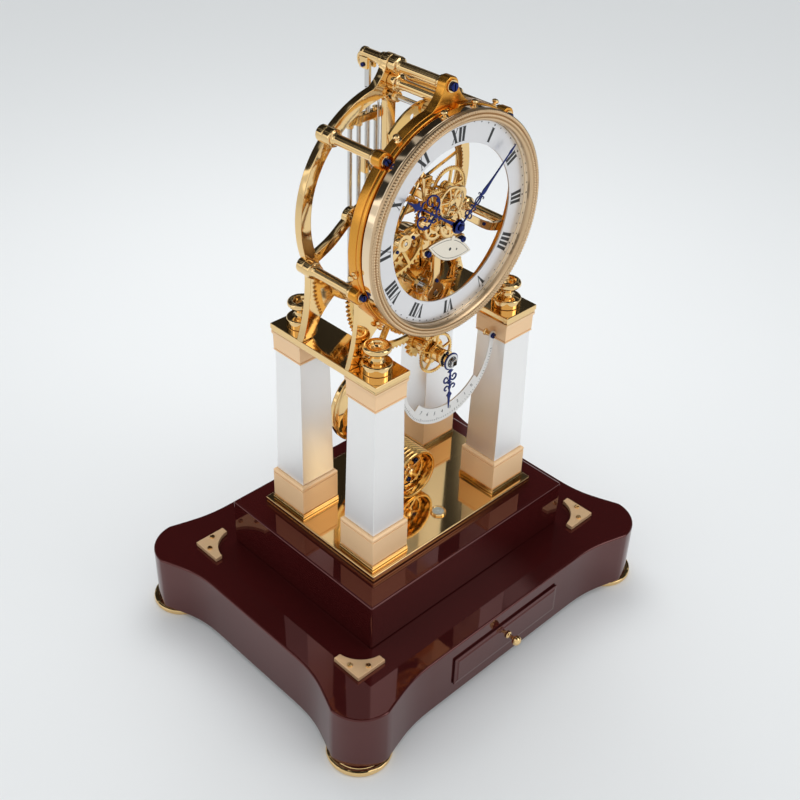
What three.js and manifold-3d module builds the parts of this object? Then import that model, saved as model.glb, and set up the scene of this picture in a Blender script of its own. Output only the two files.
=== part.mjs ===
// Skeleton mantel clock on a two-step lacquered base, with four columns and a gridiron pendulum.
// Millimetres. +X is to the viewer's right, +Y runs from the dial to the back, +Z is up.
// The origin is on the floor, under the middle of the whole clock.

import * as THREE from 'three';
import { mergeVertices } from 'three/addons/utils/BufferGeometryUtils.js';
import Module from 'manifold-3d';

const wasm = await Module();
wasm.setup();

// ---- driving dimensions ----

const GAP = 0.3;                 // air between touching pieces
const Y_SHIFT = 2.55;            // centres the clock, drawer knob included, on the origin

const FOOT = { x: 195.8, y: 149.1, radius: 34, height: 7 };
const LOWER = {
  cornerX: 186.5, cornerY: 141, cornerRadius: 40, wallX: 208, wallY: 167, flare: 76, top: 78, edge: 2.4,
};
const UPPER = { halfX: 145.4, halfY: 111, top: 135.6 };
const PLATE = { halfX: 120, halfY: 85.8, top: 143.9 };
const BRACKET = { x: 183.3, y: 133.2, leg: 36, width: 8, height: 5 };
const COLUMN = { x: 89.7, y: 53.6, baseTop: 185.5, shaftTop: 335, capitalTop: 358 };
const SLAB = { half: 22.2, reach: 75.7, top: 366.8 };
const NUT = { height: 27.5, radius: 15 };

const DRUM = { radius: 29, front: -24, back: 22, mouth: 25.4, floor: -8 };
const DRAWER = { halfX: 81, low: 24, high: 61, depth: 170, wall: 4, lip: 3.6 };

const DIAL_Z = 487.3;            // height of the hands' centre
const RING = { inner: 98, outer: 110 };
const PILLAR = { ringRadius: 111, radius: 5 };
const EAR_Z = 126.5;              // height of the ear's screw above the hands' centre
const FRONT = { front: -46, back: -36, ringFront: -50.4 };
const BACK = { front: 26.5, back: 35 };
const RIM = { front: -60.8, outer: 108.4 };
const BEZEL = { front: -66.6, inner: 97.6, outer: 108.8 };
const CHAPTER = { front: -57, back: -55.4, inner: 76, outer: 97.4 };

// Arbor centres in the plane of the dial, measured from the hands' centre.
const CENTER = [0, 0];
const INTERMEDIATE = [-46, -10];
const THIRD = [24, 16];
const ESCAPE = [0, 28];
const ANCHOR = [0, 97.7];
const GREAT = [0, -80];
const WINDING = [0, -146];
const MOTION = [-17.8, 1.2];
const LEAF = { x: 5.2, z: -30.2, slope: 21.2, half: 31, rise: 11.4, drop: -26 };

const ESCAPE_WHEEL = { tip: 56.2, root: 54.2, rim: 48.6 };
const PENDULUM = { y: 59, pivot: 120.5, rodSpread: 22, bobZ: -259, bobRadius: 47.5 };
const HOUR_ANGLE = 304.1;        // degrees clockwise from twelve, hands at 10:08
const MINUTE_ANGLE = 48.6;

// ---- materials ----

const paint = (color, roughness, metalness) => (
  new THREE.MeshStandardMaterial({ color, roughness, metalness })
);
const polishedGold = paint(0xe0b062, 0.12, 1);
const satinGold = paint(0xc99c58, 0.35, 1);
const satinSilver = paint(0xc9c7c2, 0.35, 1);
const lacquer = paint(0x3c0c12, 0.12, 0);
const bluedSteel = paint(0x1c2c66, 0.25, 1);
const dialSilver = paint(0xd9d6cd, 0.45, 1);
const steel = paint(0xb4b6ba, 0.25, 1);

// ---- solids ----

// Turns a three.js geometry into a manifold solid, whichever way its faces wind.
function solid(geometry) {
  const bare = geometry.clone();
  bare.deleteAttribute('normal');
  bare.deleteAttribute('uv');
  const merged = mergeVertices(bare, 1e-4);
  const index = Array.from(merged.index.array);
  const position = merged.attributes.position;
  const corner = [new THREE.Vector3(), new THREE.Vector3(), new THREE.Vector3()];
  const triangles = [];
  let volume = 0;
  for (let i = 0; i < index.length; i += 3) {
    const [a, b, c] = index.slice(i, i + 3);
    if (a === b || b === c || c === a) continue;
    triangles.push([a, b, c]);
    corner[0].fromBufferAttribute(position, a);
    corner[1].fromBufferAttribute(position, b);
    corner[2].fromBufferAttribute(position, c);
    volume += corner[0].dot(corner[1].cross(corner[2]));
  }
  const wound = volume < 0 ? triangles.map(([a, b, c]) => [a, c, b]) : triangles;
  return new wasm.Manifold(new wasm.Mesh({
    numProp: 3,
    vertProperties: Float32Array.from(position.array),
    triVerts: Uint32Array.from(wound.flat()),
  }));
}

const group = new THREE.Group();

// Adds one named sub-part, made of one solid, to the clock.
function addPart(name, material, body) {
  const mesh = body.getMesh();
  const geometry = new THREE.BufferGeometry();
  geometry.setAttribute('position', new THREE.BufferAttribute(mesh.vertProperties.slice(), 3));
  geometry.setIndex(Array.from(mesh.triVerts));
  geometry.computeVertexNormals();
  const part = new THREE.Mesh(geometry, material);
  part.name = name;
  part.position.y = Y_SHIFT;
  group.add(part);
}

const join = (...bodies) => bodies.reduce((sum, body) => sum.add(body));
const cut = (body, ...tools) => tools.reduce((rest, tool) => rest.subtract(tool), body);

function box(x0, x1, y0, y1, z0, z1) {
  const geometry = new THREE.BoxGeometry(x1 - x0, y1 - y0, z1 - z0);
  return solid(geometry.translate((x0 + x1) / 2, (y0 + y1) / 2, (z0 + z1) / 2));
}

// A turned body on an upright axis; the profile holds [radius, height] pairs.
function turnedZ(profile, x, y, segments = 20) {
  const geometry = new THREE.LatheGeometry(profile.map(([r, h]) => new THREE.Vector2(r, h)), segments);
  return solid(geometry.rotateX(Math.PI / 2).translate(x, y, 0));
}

// A turned body on a front-to-back axis; the profile holds [radius, y] pairs.
function turnedY(profile, [x, z], segments = 20) {
  const geometry = new THREE.LatheGeometry(profile.map(([r, y]) => new THREE.Vector2(r, y)), segments);
  return solid(geometry.translate(x, 0, DIAL_Z + z));
}

// A square body whose half width follows the profile of [half width, height] pairs.
function squareStack(profile, x, y) {
  const points = profile.map(([half, h]) => new THREE.Vector2(half * Math.SQRT2, h));
  const geometry = new THREE.LatheGeometry(points, 4);
  return solid(geometry.rotateY(Math.PI / 4).rotateX(Math.PI / 2).translate(x, y, 0));
}

const rodY = (radius, y0, y1, at, segments = 12) => (
  turnedY([[0, y0], [radius, y0], [radius, y1], [0, y1]], at, segments)
);

const outline = (points) => new THREE.Shape(points.map(([x, z]) => new THREE.Vector2(x, z)));

// A flat plate drawn in x and height above the hands' centre, between two depths.
function plate(shape, y0, y1, curveSegments = 16) {
  const depth = y1 - y0;
  const geometry = new THREE.ExtrudeGeometry(shape, { depth, bevelEnabled: false, curveSegments });
  return solid(geometry.rotateX(Math.PI / 2).translate(0, y1, DIAL_Z));
}

function annulus(inner, outer, y0, y1, [x, z], curveSegments = 18) {
  const shape = new THREE.Shape().absarc(x, z, outer, 0, 2 * Math.PI);
  shape.holes.push(new THREE.Path().absarc(x, z, inner, 0, 2 * Math.PI, true));
  return plate(shape, y0, y1, curveSegments);
}

// A bar of constant width that follows a curve in the plane of the dial.
function curvedBar(points, width, y0, y1, steps = 6) {
  const curve = new THREE.SplineCurve(points.map(([x, z]) => new THREE.Vector2(x, z)));
  const left = [];
  const right = [];
  for (let i = 0; i <= steps; i += 1) {
    const at = curve.getPoint(i / steps);
    const along = curve.getTangent(i / steps);
    const across = new THREE.Vector2(-along.y, along.x).multiplyScalar(width / 2);
    left.push(at.clone().add(across));
    right.unshift(at.clone().sub(across));
  }
  return plate(new THREE.Shape([...left, ...right]), y0, y1);
}

// ---- base ----

const SIDES = [['left', -1], ['right', 1]];
const ENDS = [['front', -1], ['back', 1]];

function everyCorner(make) {
  for (const [end, sy] of ENDS) {
    for (const [side, sx] of SIDES) make(`${end}_${side}`, sx, sy);
  }
}

// Plan of the lower tier: round corner posts, and walls that sweep in to a straight middle.
function lowerTierPlan() {
  const { cornerX, cornerY, cornerRadius: radius, wallX, wallY, flare } = LOWER;
  const startX = cornerX - flare;
  const startY = cornerY - flare;
  const plan = new THREE.Shape();
  plan.moveTo(startX, -wallY);
  plan.bezierCurveTo(startX + 34, -wallY, cornerX - 30, -wallY - 5, cornerX, -cornerY - radius);
  plan.absarc(cornerX, -cornerY, radius, -Math.PI / 2, 0);
  plan.bezierCurveTo(wallX + 7, -cornerY + 30, wallX, -startY - 34, wallX, -startY);
  plan.lineTo(wallX, startY);
  plan.bezierCurveTo(wallX, startY + 34, wallX + 7, cornerY - 30, cornerX + radius, cornerY);
  plan.absarc(cornerX, cornerY, radius, 0, Math.PI / 2);
  plan.bezierCurveTo(cornerX - 30, wallY + 5, startX + 34, wallY, startX, wallY);
  plan.lineTo(-startX, wallY);
  plan.bezierCurveTo(-startX - 34, wallY, -cornerX + 30, wallY + 5, -cornerX, cornerY + radius);
  plan.absarc(-cornerX, cornerY, radius, Math.PI / 2, Math.PI);
  plan.bezierCurveTo(-wallX - 7, cornerY - 30, -wallX, startY + 34, -wallX, startY);
  plan.lineTo(-wallX, -startY);
  plan.bezierCurveTo(-wallX, -startY - 34, -wallX - 7, -cornerY + 30, -cornerX - radius, -cornerY);
  plan.absarc(-cornerX, -cornerY, radius, Math.PI, 1.5 * Math.PI);
  plan.bezierCurveTo(-cornerX + 30, -wallY - 5, -startX - 34, -wallY, -startX, -wallY);
  plan.closePath();
  return plan;
}

function lowerTier() {
  const { edge, top } = LOWER;
  const low = FOOT.height + GAP;
  const block = new THREE.ExtrudeGeometry(lowerTierPlan(), {
    depth: top - low,
    bevelSize: edge,
    bevelOffset: -edge,
    bevelThickness: edge,
    bevelSegments: 2,
    curveSegments: 6,
  });
  block.translate(0, 0, low - edge);
  const trim = box(-300, 300, -300, 300, low, 200);
  const halfX = DRAWER.halfX - DRAWER.wall + 0.8;
  const back = -LOWER.wallY + DRAWER.depth + 2;
  const cavity = box(-halfX, halfX, -LOWER.wallY - 20, back, DRAWER.low + 3, DRAWER.high - 3);
  return cut(solid(block).intersect(trim), cavity);
}

addPart('base_lower_tier', lacquer, lowerTier());
addPart('base_upper_tier', lacquer,
  box(-UPPER.halfX, UPPER.halfX, -UPPER.halfY, UPPER.halfY, LOWER.top + GAP, UPPER.top));

everyCorner((where, sx, sy) => {
  const { radius, height } = FOOT;
  const profile = [[0, 0], [radius - 2, 0], [radius, 2], [radius, height - 2], [radius - 2, height],
    [0, height]];
  addPart(`foot_${where}`, polishedGold, turnedZ(profile, sx * FOOT.x, sy * FOOT.y, 18));
});

everyCorner((where, sx, sy) => {
  const { x, y, leg, width, height } = BRACKET;
  const reach = leg + 4;
  const start = Math.atan2(width - reach, leg - reach);
  const end = Math.atan2(leg - reach, width - reach);
  const shape = new THREE.Shape();
  shape.moveTo(0, 0);
  shape.lineTo(leg, 0);
  shape.lineTo(leg, width);
  shape.absarc(reach, reach, Math.hypot(reach - leg, reach - width), start, end, true);
  shape.lineTo(0, leg);
  shape.closePath();
  const settings = { depth: height, bevelEnabled: false, curveSegments: 8 };
  const geometry = new THREE.ExtrudeGeometry(shape, settings);
  geometry.scale(-sx, -sy, 1).translate(sx * x, sy * y, LOWER.top + GAP);
  addPart(`bracket_${where}`, polishedGold, solid(geometry));
});

// The plate carries a small round spirit level at the front.
addPart('base_plate', polishedGold, join(
  box(-PLATE.halfX, PLATE.halfX, -PLATE.halfY, PLATE.halfY, UPPER.top + GAP, PLATE.top),
  turnedZ([[0, PLATE.top - 3], [8.5, PLATE.top - 3], [8.5, PLATE.top + 3], [6, PLATE.top + 3],
    [6, PLATE.top + 2], [0, PLATE.top + 2]], 0, -59.4, 24),
));

// Barrel lying on the plate, ribbed around, open at the front, with a boss inside and a flat foot.
function ribbedDrum() {
  const { radius, front, back, mouth, floor } = DRUM;
  const axis = PLATE.top + GAP + radius + 0.6 - DIAL_Z;
  const profile = [[0, floor - 6], [9, floor - 6], [9, floor], [mouth, floor], [mouth, front]];
  const ribs = 4;
  const step = (back - front) / ribs;
  for (let rib = 0; rib < ribs; rib += 1) {
    const y = front + rib * step;
    profile.push([radius - 1.6, y], [radius, y + 2], [radius, y + step - 3], [radius - 1.6, y + step - 1.4]);
  }
  profile.push([radius - 4, back], [0, back]);
  const foot = box(-14, 14, -16, 16, PLATE.top + GAP, PLATE.top + 6);
  return join(turnedY(profile, [0, axis], 20), foot);
}
addPart('ribbed_drum', satinGold, ribbedDrum());

// ---- columns, slabs and nuts ----

everyCorner((where, sx, sy) => {
  const x = sx * COLUMN.x;
  const y = sy * COLUMN.y;
  const z = PLATE.top + GAP;
  addPart(`column_base_${where}`, satinGold, squareStack([[0, z], [25.2, z], [25.2, z + 4],
    [23.4, z + 4.6], [23.4, z + 5.8], [24.3, z + 6.4], [24.3, z + 35.5], [23.2, z + 36],
    [23.2, z + 37.2], [24, z + 37.8], [24, COLUMN.baseTop - 1.4], [22.6, COLUMN.baseTop],
    [0, COLUMN.baseTop]], x, y));
  const shaftLow = COLUMN.baseTop + GAP;
  addPart(`column_shaft_${where}`, satinSilver, squareStack([[0, shaftLow], [21.2, shaftLow],
    [18.9, COLUMN.shaftTop], [0, COLUMN.shaftTop]], x, y));
  const c = COLUMN.shaftTop + GAP;
  addPart(`column_capital_${where}`, satinGold, squareStack([[0, c], [19.6, c], [20.4, c + 1],
    [20.4, c + 3.2], [19.4, c + 3.8], [19.4, c + 5], [21.2, c + 6], [21.6, COLUMN.capitalTop],
    [0, COLUMN.capitalTop]], x, y));
  const n = SLAB.top + GAP;
  const tube = [];
  for (let i = 0; i <= 3; i += 1) {
    const angle = -Math.PI / 3 + (i / 3) * (Math.PI * 4 / 3);
    tube.push([10.2 + 3.8 * Math.cos(angle), n + NUT.height - 3.8 + 3.8 * Math.sin(angle)]);
  }
  addPart(`nut_${where}`, polishedGold, turnedZ([[0, n], [NUT.radius, n], [NUT.radius, n + 9.6],
    [NUT.radius - 1.4, n + 11], [7.6, n + 11.6], [7.6, n + 18], ...tube,
    [0, n + NUT.height - 5.4]], x, y, 12));
});

for (const [side, sx] of SIDES) {
  const x = sx * COLUMN.x;
  addPart(`entablature_${side}`, polishedGold, box(x - SLAB.half, x + SLAB.half, -SLAB.reach, SLAB.reach,
    COLUMN.capitalTop + GAP, SLAB.top));
}

// ---- drawer ----

function drawer() {
  const { halfX, low, high, depth, wall, lip } = DRAWER;
  const y = -LOWER.wallY;
  const panel = box(-halfX, halfX, y - lip, y - GAP, low, high);
  const inner = halfX - wall;
  const tray = box(-inner, inner, y - 2, y + depth - 2, low + 4, high - 4);
  const hollow = box(-inner + 4, inner - 4, y + 4, y + depth - 6, low + 7, high);
  return cut(join(panel, tray), hollow);
}
addPart('drawer', lacquer, drawer());

const KNOB_Y = -LOWER.wallY - DRAWER.lip - GAP;
const KNOB_Z = (DRAWER.low + DRAWER.high) / 2 - DIAL_Z;
addPart('drawer_knob', polishedGold, turnedY([[0, KNOB_Y], [4.2, KNOB_Y], [4.2, KNOB_Y - 1.4],
  [2.2, KNOB_Y - 2.4], [2.2, KNOB_Y - 7.4], [4.4, KNOB_Y - 8.6], [5.7, KNOB_Y - 11.6],
  [4.9, KNOB_Y - 14.6], [2.6, KNOB_Y - 16.6], [0, KNOB_Y - 17.3]], [0, KNOB_Z], 16));

// ---- movement frames ----

const PILLAR_ANGLES = { top: 90, upper_left: 134, upper_right: 46, lower_left: 202, lower_right: -22 };
const polar = (radius, degrees) => [
  radius * Math.cos(THREE.MathUtils.degToRad(degrees)),
  radius * Math.sin(THREE.MathUtils.degToRad(degrees)),
];

// A leg that curves from the ring down to the slab; sx picks the side.
function leg(sx, y0, y1) {
  const foot = SLAB.top + GAP - DIAL_Z;
  const shape = new THREE.Shape();
  shape.moveTo(sx * 97, -46);
  shape.quadraticCurveTo(sx * 98, -88, sx * 112, foot);
  shape.lineTo(sx * 98.5, foot);
  shape.quadraticCurveTo(sx * 86, -94, sx * 68, -82);
  shape.closePath();
  return plate(shape, y0, y1, 8);
}

// A pointed ear that rises above the ring.
function ear(y0, y1) {
  const shape = new THREE.Shape();
  shape.moveTo(-38, 100);
  shape.quadraticCurveTo(-14, 112, -8.5, EAR_Z);
  shape.absarc(0, EAR_Z, 8.5, Math.PI, 0, true);
  shape.quadraticCurveTo(14, 112, 38, 100);
  shape.closePath();
  return plate(shape, y0, y1, 8);
}

function frameBody(y0, y1) {
  const lobes = Object.values(PILLAR_ANGLES).map((a) => rodY(8, y0, y1, polar(PILLAR.ringRadius, a)));
  return join(annulus(RING.inner, RING.outer + 1, y0, y1, CENTER), ear(y0, y1), ...lobes);
}

const LEFT_ARM = [polar(104, 202), [-70, -27], INTERMEDIATE, CENTER];
const RIGHT_ARM = [polar(104, -22), [70, -32], [42, -14], [20, 0], CENTER];
const THIRD_LINK = [THIRD, [22, 0]];

function frontFrame() {
  const { front, back, ringFront } = FRONT;
  const bars = [
    curvedBar(LEFT_ARM, 9, front + 4, back),
    curvedBar(RIGHT_ARM, 9, front + 4, back),
    curvedBar(THIRD_LINK, 9, front + 4, back, 1),
    plate(outline([[-5.5, 0], [-5.5, -152], [5.5, -152], [5.5, 0]]), -40, -34),
    rodY(10, -40, -34, CENTER),
    rodY(8, front + 4, back, INTERMEDIATE),
    rodY(8, front + 4, back, THIRD),
    rodY(9, -40, -34, GREAT),
    rodY(12, -40, -34, WINDING, 18),
    rodY(7, front, back, [0, 96]),
  ];
  const cock = join(
    box(-5, 5, -24, -20, DIAL_Z - 57, DIAL_Z + 34),
    box(-5, 5, -36.5, -20, DIAL_Z - 57, DIAL_Z - 46),
    curvedBar([[0, 6], THIRD], 9, -24, -20, 1),
    rodY(7, -24, -20, THIRD),
  );
  const body = join(
    frameBody(front, back), annulus(RING.inner, RING.outer, ringFront, front + 1, CENTER),
    leg(-1, -39, -33.5), leg(1, -39, -33.5), ...bars, cock,
  );
  const bores = [[4.6, CENTER], [8, WINDING], [2, INTERMEDIATE], [2, THIRD], [3.4, GREAT], [2, ANCHOR]];
  return cut(body, ...bores.map(([radius, at]) => rodY(radius, -60, -30, at, radius > 5 ? 18 : 10)),
    rodY(2, -30, -10, CENTER, 10), rodY(2, -25, -10, THIRD, 10), rodY(2.6, -30, -10, ESCAPE, 10));
}

function backFrame() {
  const { front, back } = BACK;
  const spine = outline([[-6, 104], [-6, -104], [6, -104], [6, 104]]);
  const body = join(
    frameBody(front, back), leg(-1, front, back), leg(1, front, back), plate(spine, front, back),
    curvedBar(LEFT_ARM, 11, front, back), curvedBar(RIGHT_ARM, 11, front, back),
    rodY(9, front, back, INTERMEDIATE),
    rodY(9, front, back, ESCAPE),
    rodY(10, front, back, GREAT),
  );
  const bores = [INTERMEDIATE, ESCAPE].map((at) => rodY(2, front - 6, back + 5, at, 10));
  return cut(body, ...bores, rodY(3.4, front - 6, back + 5, GREAT), rodY(3.4, front - 6, back + 5, ANCHOR));
}

addPart('front_frame', satinGold, frontFrame());
addPart('back_frame', satinGold, backFrame());

// A tube between the frames, with a collar at each end.
function pillar(at) {
  const y0 = FRONT.back + GAP;
  const y1 = BACK.front - GAP;
  return turnedY([[0, y0], [7, y0], [7, y0 + 3], [PILLAR.radius, y0 + 4], [PILLAR.radius, y1 - 10],
    [8.4, y1 - 9], [8.4, y1], [0, y1]], at, 16);
}
for (const [where, angle] of Object.entries(PILLAR_ANGLES)) {
  const tube = pillar(polar(PILLAR.ringRadius, angle));
  const earTube = pillar([0, EAR_Z]);
  addPart(`pillar_${where}`, polishedGold, where === 'top' ? join(tube, earTube) : tube);
}

// Round arm behind the back ear, with two cheeks that the pendulum's spring hangs between.
function suspensionArm() {
  const axis = [0, EAR_Z];
  const y0 = BACK.back + GAP;
  const end = PENDULUM.y + 7;
  const cheeks = SIDES.map(([, s]) => box(Math.min(s * 2.4, s * 6.4), Math.max(s * 2.4, s * 6.4),
    PENDULUM.y - 6, end, DIAL_Z + 114, DIAL_Z + EAR_Z));
  return join(rodY(7, y0, y0 + 6, axis, 16), rodY(5.2, y0 + 5, end, axis, 16), ...cheeks);
}
addPart('suspension_cock', polishedGold, suspensionArm());

// ---- dial ----

addPart('dial_rim', polishedGold, turnedY([[98, FRONT.ringFront - GAP], [RIM.outer, FRONT.ringFront - GAP],
  [RIM.outer, RIM.front], [98, RIM.front], [98, FRONT.ringFront - GAP]], CENTER, 44));

addPart('bezel', satinGold, turnedY([[BEZEL.inner, RIM.front - GAP], [BEZEL.outer, RIM.front - GAP],
  [BEZEL.outer, RIM.front - 2.6], [BEZEL.outer - 1.8, BEZEL.front + 1], [BEZEL.outer - 3.4, BEZEL.front],
  [BEZEL.inner + 3, BEZEL.front + 1.6], [BEZEL.inner, BEZEL.front + 3.6],
  [BEZEL.inner, RIM.front - GAP]], CENTER, 44));

// The chapter ring hangs on three feet that reach back to the front frame's ring.
const { inner: chapterInner, outer: chapterOuter, front: chapterFront, back: chapterBack } = CHAPTER;
addPart('chapter_ring', dialSilver,
  annulus(chapterInner, chapterOuter, chapterFront, chapterBack, CENTER, 22));

// Leaf-shaped plate below the hands' centre, aslant on a short level bar with a screw at each end.
function cockPlate() {
  const { x, z, slope, half, rise, drop } = LEAF;
  const shape = new THREE.Shape();
  shape.moveTo(-half, 0);
  shape.quadraticCurveTo(-half * 0.42, rise * 1.04, 0, rise);
  shape.quadraticCurveTo(half * 0.42, rise * 1.04, half, 0);
  shape.quadraticCurveTo(half * 0.42, -rise * 1.04, 0, -rise);
  shape.quadraticCurveTo(-half * 0.42, -rise * 1.04, -half, 0);
  const leaf = turned(plate(shape, -50, -47.6, 8), slope).translate([x, 0, z]);
  const bar = box(-27, 27, -47.8, -44.4, DIAL_Z + drop - 4, DIAL_Z + drop + 4);
  const screws = SIDES.map(([, s]) => rodY(2.8, -50.4, -47, [s * 22.8, drop], 14));
  return join(leaf, bar, rodY(4, -45, -40 - GAP, [0, drop]), ...screws);
}
addPart('cock_plate', dialSilver, cockPlate());

// ---- wheels ----

const MODULES = {};              // tooth module of each meshing pair, set from its centre distance
function meshPair(name, [ax, az], [bx, bz], teethA, teethB) {
  const distance = Math.hypot(bx - ax, bz - az);
  MODULES[name] = 2 * distance / (teethA + teethB);
  const toB = Math.atan2(bz - az, bx - ax);
  const fromB = toB + Math.PI + Math.PI / teethB;
  return { a: { teeth: teethA, phase: toB }, b: { teeth: teethB, phase: fromB }, name };
}

// Outline of a toothed wheel, with one tooth centred on the phase angle.
function toothedOutline(m, teeth, phase, [x, z]) {
  const pitch = m * teeth / 2;
  const root = pitch - 1.2 * m;
  const tip = pitch + 0.55 * m;
  const step = 2 * Math.PI / teeth;
  const points = [];
  for (let i = 0; i < teeth; i += 1) {
    const at = phase + i * step;
    for (const [radius, offset] of [[tip, 0], [root, 0.5]]) {
      const angle = at + offset * step;
      points.push(new THREE.Vector2(x + radius * Math.cos(angle), z + radius * Math.sin(angle)));
    }
  }
  return new THREE.Shape(points);
}

// Windows between the spokes of a wheel.
function spokeWindows(shape, [x, z], hub, rim, spokes, turn = 0) {
  const half = 0.5 * Math.min(7, rim * 0.16);
  for (let i = 0; i < spokes; i += 1) {
    const from = turn + (i / spokes) * 2 * Math.PI;
    const to = turn + ((i + 1) / spokes) * 2 * Math.PI;
    const window = new THREE.Path();
    window.absarc(x, z, rim, from + half / rim, to - half / rim, false);
    window.absarc(x, z, hub, to - half / hub, from + half / hub, true);
    window.closePath();
    shape.holes.push(window);
  }
}

function wheel(pair, which, at, y0, y1, spokes) {
  const { teeth, phase } = pair[which];
  const m = MODULES[pair.name];
  const shape = toothedOutline(m, teeth, phase, at);
  const pitch = m * teeth / 2;
  if (spokes) spokeWindows(shape, at, Math.max(7, 0.22 * pitch), pitch - 1.15 * m - 4, spokes, phase);
  return plate(shape, y0, y1, 2);
}

const GREAT_PAIR = meshPair('great', GREAT, INTERMEDIATE, 64, 6);
const FIRST_PAIR = meshPair('first', INTERMEDIATE, CENTER, 36, 6);
const SECOND_PAIR = meshPair('second', CENTER, THIRD, 36, 6);
const THIRD_PAIR = meshPair('third', THIRD, ESCAPE, 50, 10);
const WIND_PAIR = meshPair('wind', WINDING, GREAT, 10, 36);

addPart('great_wheel', polishedGold, join(
  cut(wheel(GREAT_PAIR, 'a', GREAT, 0, 4, 6), rodY(6, -1, 5, GREAT)),
  turnedY([[9, 3.8], [50, 3.8], [50, 23], [9, 23], [9, 3.8]], GREAT, 24),
  turnedY([[4, 0], [9.4, 0], [9.4, 24], [4, 24], [4, 0]], GREAT, 18),
));
addPart('barrel_arbor', steel, join(
  rodY(3.4, -33, 25, GREAT),
  rodY(2.9, -40, 34, GREAT),
  wheel(WIND_PAIR, 'b', GREAT, -19, -16, 5),
));
addPart('intermediate_arbor', polishedGold, join(
  rodY(2.6, -35, 25, INTERMEDIATE),
  rodY(1.6, -43, 33, INTERMEDIATE),
  wheel(GREAT_PAIR, 'b', INTERMEDIATE, -1, 5),
  wheel(FIRST_PAIR, 'a', INTERMEDIATE, -30.4, -28.2, 5),
));
addPart('center_arbor', polishedGold, join(
  rodY(2.2, -63.5, -24.6, CENTER),
  rodY(1.6, -68.4, -20, CENTER),
  rodY(3.2, -51.2, -46.6, CENTER),
  wheel(FIRST_PAIR, 'b', CENTER, -30.8, -27.8),
  wheel(SECOND_PAIR, 'a', CENTER, -33.4, -31.2, 5),
));
addPart('third_arbor', polishedGold, join(
  rodY(2.2, -35, -24.6, THIRD),
  rodY(1.6, -43, -20, THIRD),
  wheel(SECOND_PAIR, 'b', THIRD, -33.8, -30.8),
  wheel(THIRD_PAIR, 'a', THIRD, -27.2, -25, 5),
));

// Escape wheel whose 96 fine teeth and two-minute turn suit a pendulum that beats 96 to the minute.
function escapeWheel() {
  const teeth = 96;
  const { tip, root, rim } = ESCAPE_WHEEL;
  const step = 2 * Math.PI / teeth;
  const points = [];
  for (let i = 0; i < teeth; i += 1) {
    for (const [radius, offset] of [[root, 0], [tip, 0.55], [root, 0.8]]) {
      const angle = (i + offset) * step;
      const across = radius * Math.cos(angle);
      points.push(new THREE.Vector2(ESCAPE[0] + across, ESCAPE[1] + radius * Math.sin(angle)));
    }
  }
  const shape = new THREE.Shape(points);
  spokeWindows(shape, ESCAPE, 8, rim, 5, 0.3);
  return plate(shape, -14.4, -11.8, 2);
}
addPart('escape_arbor', polishedGold, join(
  rodY(2.2, -29, 25, ESCAPE),
  rodY(1.6, 24, 33, ESCAPE),
  escapeWheel(),
  wheel(THIRD_PAIR, 'b', ESCAPE, -28, -24.6),
));

// Anchor with two pallets astride the escape wheel, its arbor, and the crutch behind the back frame.
function anchor() {
  const [, z] = ANCHOR;
  const shape = new THREE.Shape();
  shape.moveTo(-4, z + 7);
  shape.quadraticCurveTo(-26, z + 4, -42, z - 14);
  shape.lineTo(-39.5, z - 21.5);
  shape.lineTo(-34.5, z - 18.5);
  shape.quadraticCurveTo(-20, z - 9, 0, z - 6.5);
  shape.quadraticCurveTo(20, z - 9, 34.5, z - 18.5);
  shape.lineTo(39.5, z - 21.5);
  shape.lineTo(42, z - 14);
  shape.quadraticCurveTo(26, z + 4, 4, z + 7);
  shape.closePath();
  const crutch = box(-2, 2, 40, 43, DIAL_Z + 18, DIAL_Z + z + 4);
  const pin = rodY(2, 42, PENDULUM.y + 6, [0, 20], 10);
  const hub = rodY(5, 39.6, 43, ANCHOR, 14);
  const arbor = join(rodY(2.6, -34, 40, ANCHOR), rodY(1.6, -44, -33, ANCHOR));
  return join(plate(shape, -14.4, -11.8, 8), arbor, crutch, hub, pin);
}
addPart('anchor', steel, anchor());

// ---- motion work and hands ----

// A hand lies along its own angle from the centre, built pointing to twelve and then turned.
function turned(body, degreesClockwise) {
  const angle = THREE.MathUtils.degToRad(degreesClockwise);
  const cosine = Math.cos(angle);
  const sine = Math.sin(angle);
  return body.warp((v) => {
    const x = v[0];
    const z = v[2] - DIAL_Z;
    v[0] = x * cosine + z * sine;
    v[2] = DIAL_Z - x * sine + z * cosine;
  });
}

const mirrored = (points) => [...points, ...points.map(([x, z]) => [-x, z]).reverse()];

function minuteHand() {
  const blade = outline(mirrored([[-0.9, 5], [-1, 34], [-2.5, 38.6], [-2.5, 41], [-1.7, 47], [-1, 56],
    [-0.7, 80], [-1.5, 83.5], [-0.3, 92]]));
  const loop = annulus(2.2, 4.6, -65.8, -64.8, [0, 30], 5);
  const hub = rodY(6.2, -66.4, -64.4, CENTER, 20);
  return cut(join(plate(blade, -65.8, -64.8), loop, hub), rodY(1.9, -70, -60, CENTER));
}
addPart('minute_hand', bluedSteel, turned(minuteHand(), MINUTE_ANGLE));

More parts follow.
